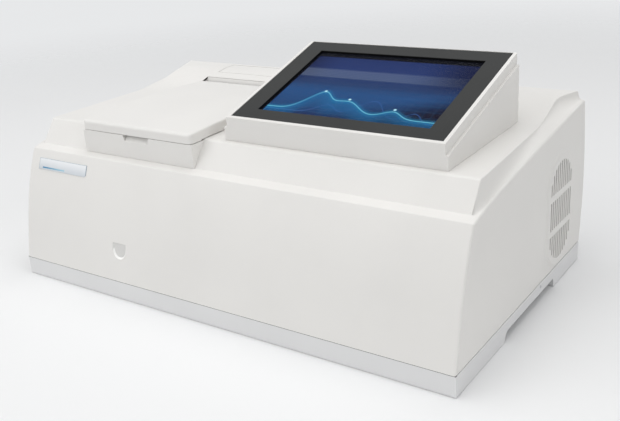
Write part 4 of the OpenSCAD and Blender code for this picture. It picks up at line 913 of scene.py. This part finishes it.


# Console: skirt and display frame in one flush front, with a step along the sides

consoleShape = {"skirtX": (-12.5, 256.5), "frameX": (-8.6, 253.4), "t": (77.0, 247.1), "frameEnd": 248.6,
                "drop": 11.3, "lift": 0.4,
                "outer": (0.0, 0.0, 254.0, 174.0), "window": (23.6, 18.9, 231.0, 154.1),
                # Each opening of the frame: how far it is grown, its floor and its top
                "openings": {"outer": (0.2, -2.0, 5.0), "window": (5.8, -11.0, 5.0)},
                # Profile of the bezel from its back, round its front and into the window
                "bezel": [("outer", 0.0, -2.0), ("outer", 0.0, -0.4), ("outer", -0.12, -0.12),
                          ("outer", -0.4, 0.0), ("window", 0.9, 0.0), ("window", 0.25, -0.2),
                          ("window", 0.0, -0.8), ("window", 0.0, -2.28), ("window", 6.0, -2.28)],
                "picture": [("window", 5.5, -9.05), ("window", 5.5, -3.25), ("window", 5.3, -3.05)]}


def onDisplay():
    place = inFrame(form["displayX"], form["displayT"], form["displayZ"])
    return Matrix.Translation(place) @ Matrix.Rotation(tilt, 4, "X")


# Loft on the display through steps: a rectangle, how far it is grown, and its height
def displayLoft(name, steps, joined=False):
    place = onDisplay()
    rings = []
    for key, by, height in steps:
        u0, v0, u1, v1 = consoleShape[key]
        (u0, u1), (v0, v1) = widened((u0, u1), by), widened((v0, v1), by)
        corners = ((u0, v0), (u1, v0), (u1, v1), (u0, v1))
        rings.append([place @ (Vector((u, v, height)) * mm) for u, v in corners])
    return loft(name, rings, joined)


def makeConsole():
    s = consoleShape
    start, end = s["t"]
    rear = s["frameEnd"]
    drop = s["drop"]
    foot = [(t, coverZ(t) + 0.2) for t in spread(end, start, 16)]
    skirt = [(start, displayZ(start) - drop), (end, displayZ(end) - drop)] + foot
    upper = [(start, displayZ(start) - drop - 2), (start, displayZ(start) + s["lift"]),
             (rear, displayZ(rear) + s["lift"]), (rear, displayZ(rear) - drop)]
    shell = sideSlab("consoleShell", skirt, s["skirtX"])
    shell = combined(shell, [sideSlab("cutter", upper, s["frameX"])], "UNION")
    shell = combined(shell, [displayLoft("cutter", [(key, by, low), (key, by, high)])
                             for key, (by, low, high) in s["openings"].items()])
    dressed(shaded(shell), "console_base", "display_frame")
    dressed(shaded(displayLoft("screenBezel", s["bezel"], True)), "display_bezel")


def makeDisplay():
    panel = displayLoft("displayPicture", consoleShape["picture"])
    layer = panel.data.uv_layers.new(name="screenMap")
    inside = onDisplay().inverted()
    u0, v0, u1, v1 = consoleShape["window"]
    for loop in panel.data.loops:
        spot = inside @ panel.data.vertices[loop.vertex_index].co / mm
        layer.data[loop.index].uv = ((spot.x - u0) / (u1 - u0), (spot.y - v0) / (v1 - v0))
    dressed(panel, "lcd_panel")


makeConsole()
makeDisplay()
print("console")


# Base tray, nearly flush with the case and carried down to the floor, and a dark strip painting the shadow
# in its front seam
trayShape = {"reach": 298.5, "side": 299.7, "front": 0.3, "foot": 0.45, "edge": 1.5, "round": 0.5,
             "stripX": (-299.4, 299.4), "stripT": (0.08, 3.0), "stripZ": (23.0, 23.55)}


def makeTray():
    s = trayShape
    tray = newObject("baseTray", frame["nodes"]["base_tray"].data.copy())
    for vert in tray.data.vertices:
        if abs(vert.co.x) > s["reach"] * mm:
            vert.co.x = math.copysign(s["side"] * mm, vert.co.x)
        if vert.co.y < (s["edge"] + frontY) * mm:
            vert.co.y = (s["front"] + frontY) * mm
        if vert.co.z < s["edge"] * mm:
            vert.co.z = s["foot"] * mm
    dressed(shaded(roundEdges(tray, s["round"], 3)), "base_tray")
    # Painted shadow: a dark strip set in the front seam stands for the shade under the case's edge
    strip = block(s["stripX"], s["stripT"], s["stripZ"], "seamStrip")
    coat(strip, "rubber_dark")
    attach(strip, "chassis")


makeTray()
print("tray")


# Side grilles: an oval plate cut by a Geometry Nodes pattern of slots

grilleShape = {"field": (66.0, 114.0), "columns": 11, "slotWide": 3.2, "bar": 7.0, "thick": 4.4,
               "flange": (84.0, 134.0), "chamfer": 3.6, "proud": 1.9,
               "seat": 0.3, "gap": 0.4, "edge": 0.25, "cutDeep": 20.0}


class ShapeTree(TreeMaker):
    def __init__(self, name):
        self.tree = bpy.data.node_groups.new(name, "GeometryNodeTree")
        for way in ("INPUT", "OUTPUT"):
            self.tree.interface.new_socket("Geometry", in_out=way, socket_type="NodeSocketGeometry")
        self.sizes = {}

    def shape(self, kind, *rest):
        return self.node(kind, *rest, family="Geometry")

    # The incoming shape and the named sizes, in turn
    def starts(self, sizes):
        for name, value in sizes.items():
            socket = self.tree.interface.new_socket(name, in_out="INPUT", socket_type="NodeSocketFloat")
            self.sizes[socket.identifier] = value
        made = self.tree.nodes.new("NodeGroupInput")
        return [Tap(self, o) for o in made.outputs if o.name]

    # The outgoing shape, in the finish of a slot
    def ends(self, last, slot):
        coated = self.shape("SetMaterial", {"Geometry": last, "Material": slotFinish(slot)})
        self.feed(self.tree.nodes.new("NodeGroupOutput").inputs[0], coated)

    def applied(self, piece):
        step = piece.modifiers.new("pattern", "NODES")
        step.node_group = self.tree
        for identifier, value in self.sizes.items():
            step[identifier] = value
        return settled(piece)


# Slots in columns and three groups, each clipped by the oval field
def slotTree():
    g = ShapeTree("slotPattern")
    s = grilleShape
    plate, wide, tall, columns, slot, bar = g.starts({
        "Field Wide": s["field"][0] * mm, "Field Tall": s["field"][1] * mm, "Columns": float(s["columns"]),
        "Slot Wide": s["slotWide"] * mm, "Bar": s["bar"] * mm})
    points = g.shape("MeshLine", {"Count": s["columns"] * 3})
    index = g.shape("InputIndex")
    column = index % columns
    group = (index / columns).alone("FLOOR") - 1.0
    across = (column - (columns - 1.0) / 2.0) * wide / columns
    reach = (tall - wide) / 2.0 + ((wide / 2.0) ** 2.0 - across ** 2.0) ** 0.5
    groupTall = (tall - bar * 2.0) / 3.0
    middle = group * (groupTall + bar)
    low = (middle - groupTall / 2.0).most(reach * -1.0)
    high = (middle + groupTall / 2.0).least(reach)
    spot = g.node("CombineXYZ", {0: 0.0, 1: across, 2: (low + high) / 2.0})
    stretch = g.node("CombineXYZ", {0: s["cutDeep"] * mm, 1: slot, 2: high - low})
    placed = g.shape("SetPosition", {"Geometry": points, "Position": spot})
    cube = g.shape("MeshCube", {"Size": (1, 1, 1)})
    slots = g.shape("InstanceOnPoints",
                   {"Points": placed, "Instance": cube, "Scale": stretch})
    slots = g.shape("RealizeInstances", {"Geometry": slots})
    cut = g.shape("MeshBoolean", {0: plate, 1: slots}, {"operation": "DIFFERENCE"})
    g.ends(cut, "warm_white_shell")
    return g


def makeGrilles():
    s = grilleShape
    tree = slotTree()
    flange = s["flange"]
    top = [size - 2 * s["chamfer"] for size in flange]
    inner = [size - s["gap"] for size in caseShape["recess"]]
    seat = -s["seat"]
    steps = ((s["proud"], top), (0.0, flange), (seat, flange), (seat, inner), (-s["thick"], inner))
    for side, name in ((1, "right"), (-1, "left")):
        plate = tree.applied(loft("grille." + name, [
            [(x * mm, y * mm, z * mm) for y, z in oval(0, 0, *size)] for x, size in steps]))
        if side < 0:
            plate.data.transform(Matrix.Scale(-1, 4, (1, 0, 0)))
            plate.data.flip_normals()
        place = inFrame(side * form["halfWidth"], caseShape["grilleT"], caseShape["grilleZ"])
        plate.data.transform(Matrix.Translation(place))
        dressed(shaded(roundEdges(plate, s["edge"], least=60)), "side_grille_" + name)


makeGrilles()
print("grilles")


# Copies of the other shown solids with their edges rounded

roundedNodes = {
    "rear_panel": 0.4, "rear_access_cover": 0.3, "nameplate": 0.25,
    "lid_liner": 0.5, "lid_hinge_arms": 0.6, "hinge_brackets": 0.6, "hinge_pins": 0.4, "sample_well": 0.6,
    "cuvette_holder": 0.6, "rubber_feet": 0.8, "power_inlet": 0.4, "switch_body": 0.3, "power_rocker": 0.4,
    "data_ports": 0.2, "lamp_house": 0.8, "power_supply": 0.4, "fan_frame": 0.6, "pmt_housing": 0.6,
    "optical_base": 0.5, "ex_mono_box": 0.8, "em_mono_box": 0.8, "ex_mono_cover": 0.5, "em_mono_cover": 0.5,
    "fold_mirror_box": 0.6, "fan_rotor": 0.2,
}


def makeRounded():
    for node, width in roundedNodes.items():
        piece = newObject("rounded." + node, frame["nodes"][node].data.copy())
        piece = shaded(roundEdges(piece, width, 3 if width > 0.5 else 2))
        dressed(piece, node)


makeRounded()
print("rounded", len(roundedNodes))


# Screws: crossed pan heads set by Geometry Nodes on points with a facing of their own

screwShape = {"round": 3.2, "tall": 1.6, "slot": 0.9, "reach": 3.6, "deep": 0.9, "sideScale": 0.55,
              "turn": 1.3, "sides": 20}


# Lowest and highest corner of each screw, from the loose solids of the CAD node
def screwSpots():
    shape = bmesh.new()
    shape.from_mesh(frame["nodes"]["screws"].data)
    bmesh.ops.remove_doubles(shape, verts=shape.verts, dist=1e-6)
    left = set(shape.verts)
    spots = []
    while left:
        found = [left.pop()]
        for vert in found:
            near = {edge.other_vert(vert) for edge in vert.link_edges} & left
            left -= near
            found += near
        spots.append([Vector([end(vert.co[i] for vert in found) for i in range(3)]) for end in (min, max)])
    shape.free()
    return sorted(spots, key=lambda spot: tuple(spot[0]))


def makeScrews():
    s = screwShape
    g = ShapeTree("screwPattern")
    points, radius, tall = g.starts({"Round": s["round"] * mm, "Tall": s["tall"] * mm})
    head = g.shape("MeshCylinder", {"Vertices": s["sides"], "Radius": radius, "Depth": tall})
    pan = g.shape("SetPosition", {
        "Geometry": head, "Offset": g.node("CombineXYZ", {2: tall / 2.0})})
    lift = g.node("CombineXYZ", {2: tall})
    for size in ((s["reach"], s["slot"], s["deep"] * 2), (s["slot"], s["reach"], s["deep"] * 2)):
        bar = g.shape("MeshCube", {"Size": tuple(v * mm for v in size)})
        bar = g.shape("SetPosition", {"Geometry": bar, "Offset": lift})
        pan = g.shape("MeshBoolean", {0: pan, 1: bar}, {"operation": "DIFFERENCE"})
    facing = g.shape("InputNamedAttribute", {"Name": "facing"}, {"data_type": "FLOAT_VECTOR"})
    turn = g.node("EulerToRotation", {0: facing}, family="Function")
    scale = g.shape("InputNamedAttribute", {"Name": "headScale"}, {"data_type": "FLOAT"})
    heads = g.shape("InstanceOnPoints",
                   {"Points": points, "Instance": pan, "Rotation": turn, "Scale": scale})
    heads = g.shape("RealizeInstances", {"Geometry": heads})
    g.ends(heads, "hinge_steel")
    spots = []  # place, turn and scale of each head
    for low, high in screwSpots():
        middle = (low + high) / 2
        side = math.copysign(1, middle.x)
        if high.x - low.x < high.y - low.y:
            foot = low.x if side > 0 else high.x
            spots.append(((foot, middle.y, middle.z), (0, side * math.pi / 2, 0), s["sideScale"]))
        else:
            spots.append(((middle.x, low.y, middle.z), (-math.pi / 2, s["turn"] + len(spots), 0), 1.0))
    mesh = bpy.data.meshes.new("screwHeads")
    mesh.from_pydata([spot[0] for spot in spots], [], [])
    fields = (("facing", "FLOAT_VECTOR", "vector"), ("headScale", "FLOAT", "value"))
    for which, (name, kind, field) in enumerate(fields, 1):
        layer = mesh.attributes.new(name, kind, "POINT")
        for item, spot in zip(layer.data, spots):
            setattr(item, field, spot[which])
    dressed(shaded(g.applied(newObject("screwHeads", mesh))), "screws")


makeScrews()
print("screws")


# Stage: pale floor and soft light

stageLook = {
    "half": 12.0, "floor": (0.86, 0.865, 0.87), "fade": (0.75, 2.3), "back": (0.80, 0.81, 0.82),
    "world": 0.32,
    "panels": [
        ("keyPanel", (-2.0, -2.1, 2.8), 2.6, 13.0),
        ("frontPanel", (-1.4, -2.9, 1.4), 2.6, 29.0),
        ("topPanel", (0.2, 0.2, 2.6), 2.2, 34.0),
        ("rightPanel", (2.6, -0.6, 1.3), 1.6, 15.0),
        ("leftPanel", (-2.2, -0.6, 2.4), 2.0, 13.0),
    ],
}


def makeFloor(look):
    half = look["half"]
    mesh = bpy.data.meshes.new("floorSheet")
    corners = [(-half, -half, 0), (half, -half, 0), (half, half, 0), (-half, half, 0)]
    mesh.from_pydata(corners, [], [(0, 1, 2, 3)])
    floor = newObject("floorSheet", mesh)
    m = Finish("floorPaper")
    fibres = m.noise(90.0, 4.0)
    reach = m.node("VectorMath", {0: m.place()}, {"operation": "LENGTH"}, "Value")
    m.shade(m.vary(fibres, look["floor"], 1.0, 0.995), 0.9 + fibres * 0.05,
            {"Alpha": reach.step(*look["fade"][::-1])})
    mesh.materials.append(finishes["floorPaper"])


# What the camera and reflections see is apart from the light on the object
def makeWorld(look):
    world = bpy.data.worlds.new("studioWorld")
    bpy.context.scene.world = world
    world.use_nodes = True
    sky = TreeMaker()
    sky.tree = world.node_tree
    sky.tree.nodes.clear()
    camera, glossy, through = (sky.node("LightPath", out="Is " + kind + " Ray")
                               for kind in ("Camera", "Glossy", "Transmission"))
    seen = camera.most(glossy).most(through)
    light = sky.node("Background", {"Color": (1, 1, 1), "Strength": look["world"]})
    back = sky.node("Background", {"Color": look["back"], "Strength": 1.0})
    mixed = sky.node("MixShader", {0: seen, 1: light, 2: back})
    output = sky.tree.nodes.new("ShaderNodeOutputWorld")
    sky.tree.links.new(mixed.socket, output.inputs["Surface"])


def makeLights(look):
    for name, place, size, power in look["panels"]:
        data = bpy.data.lights.new(name, "AREA")
        data.shape = "SQUARE"
        data.size = size
        data.energy = power
        lamp = newObject(name, data)
        lamp.location = place
        lamp.rotation_mode = "QUATERNION"
        lamp.rotation_quaternion = (Vector((0, 0, 0.1)) - Vector(place)).to_track_quat("-Z", "Y")


makeFloor(stageLook)
makeWorld(stageLook)
makeLights(stageLook)
bpy.context.scene.view_settings.view_transform = "Standard"
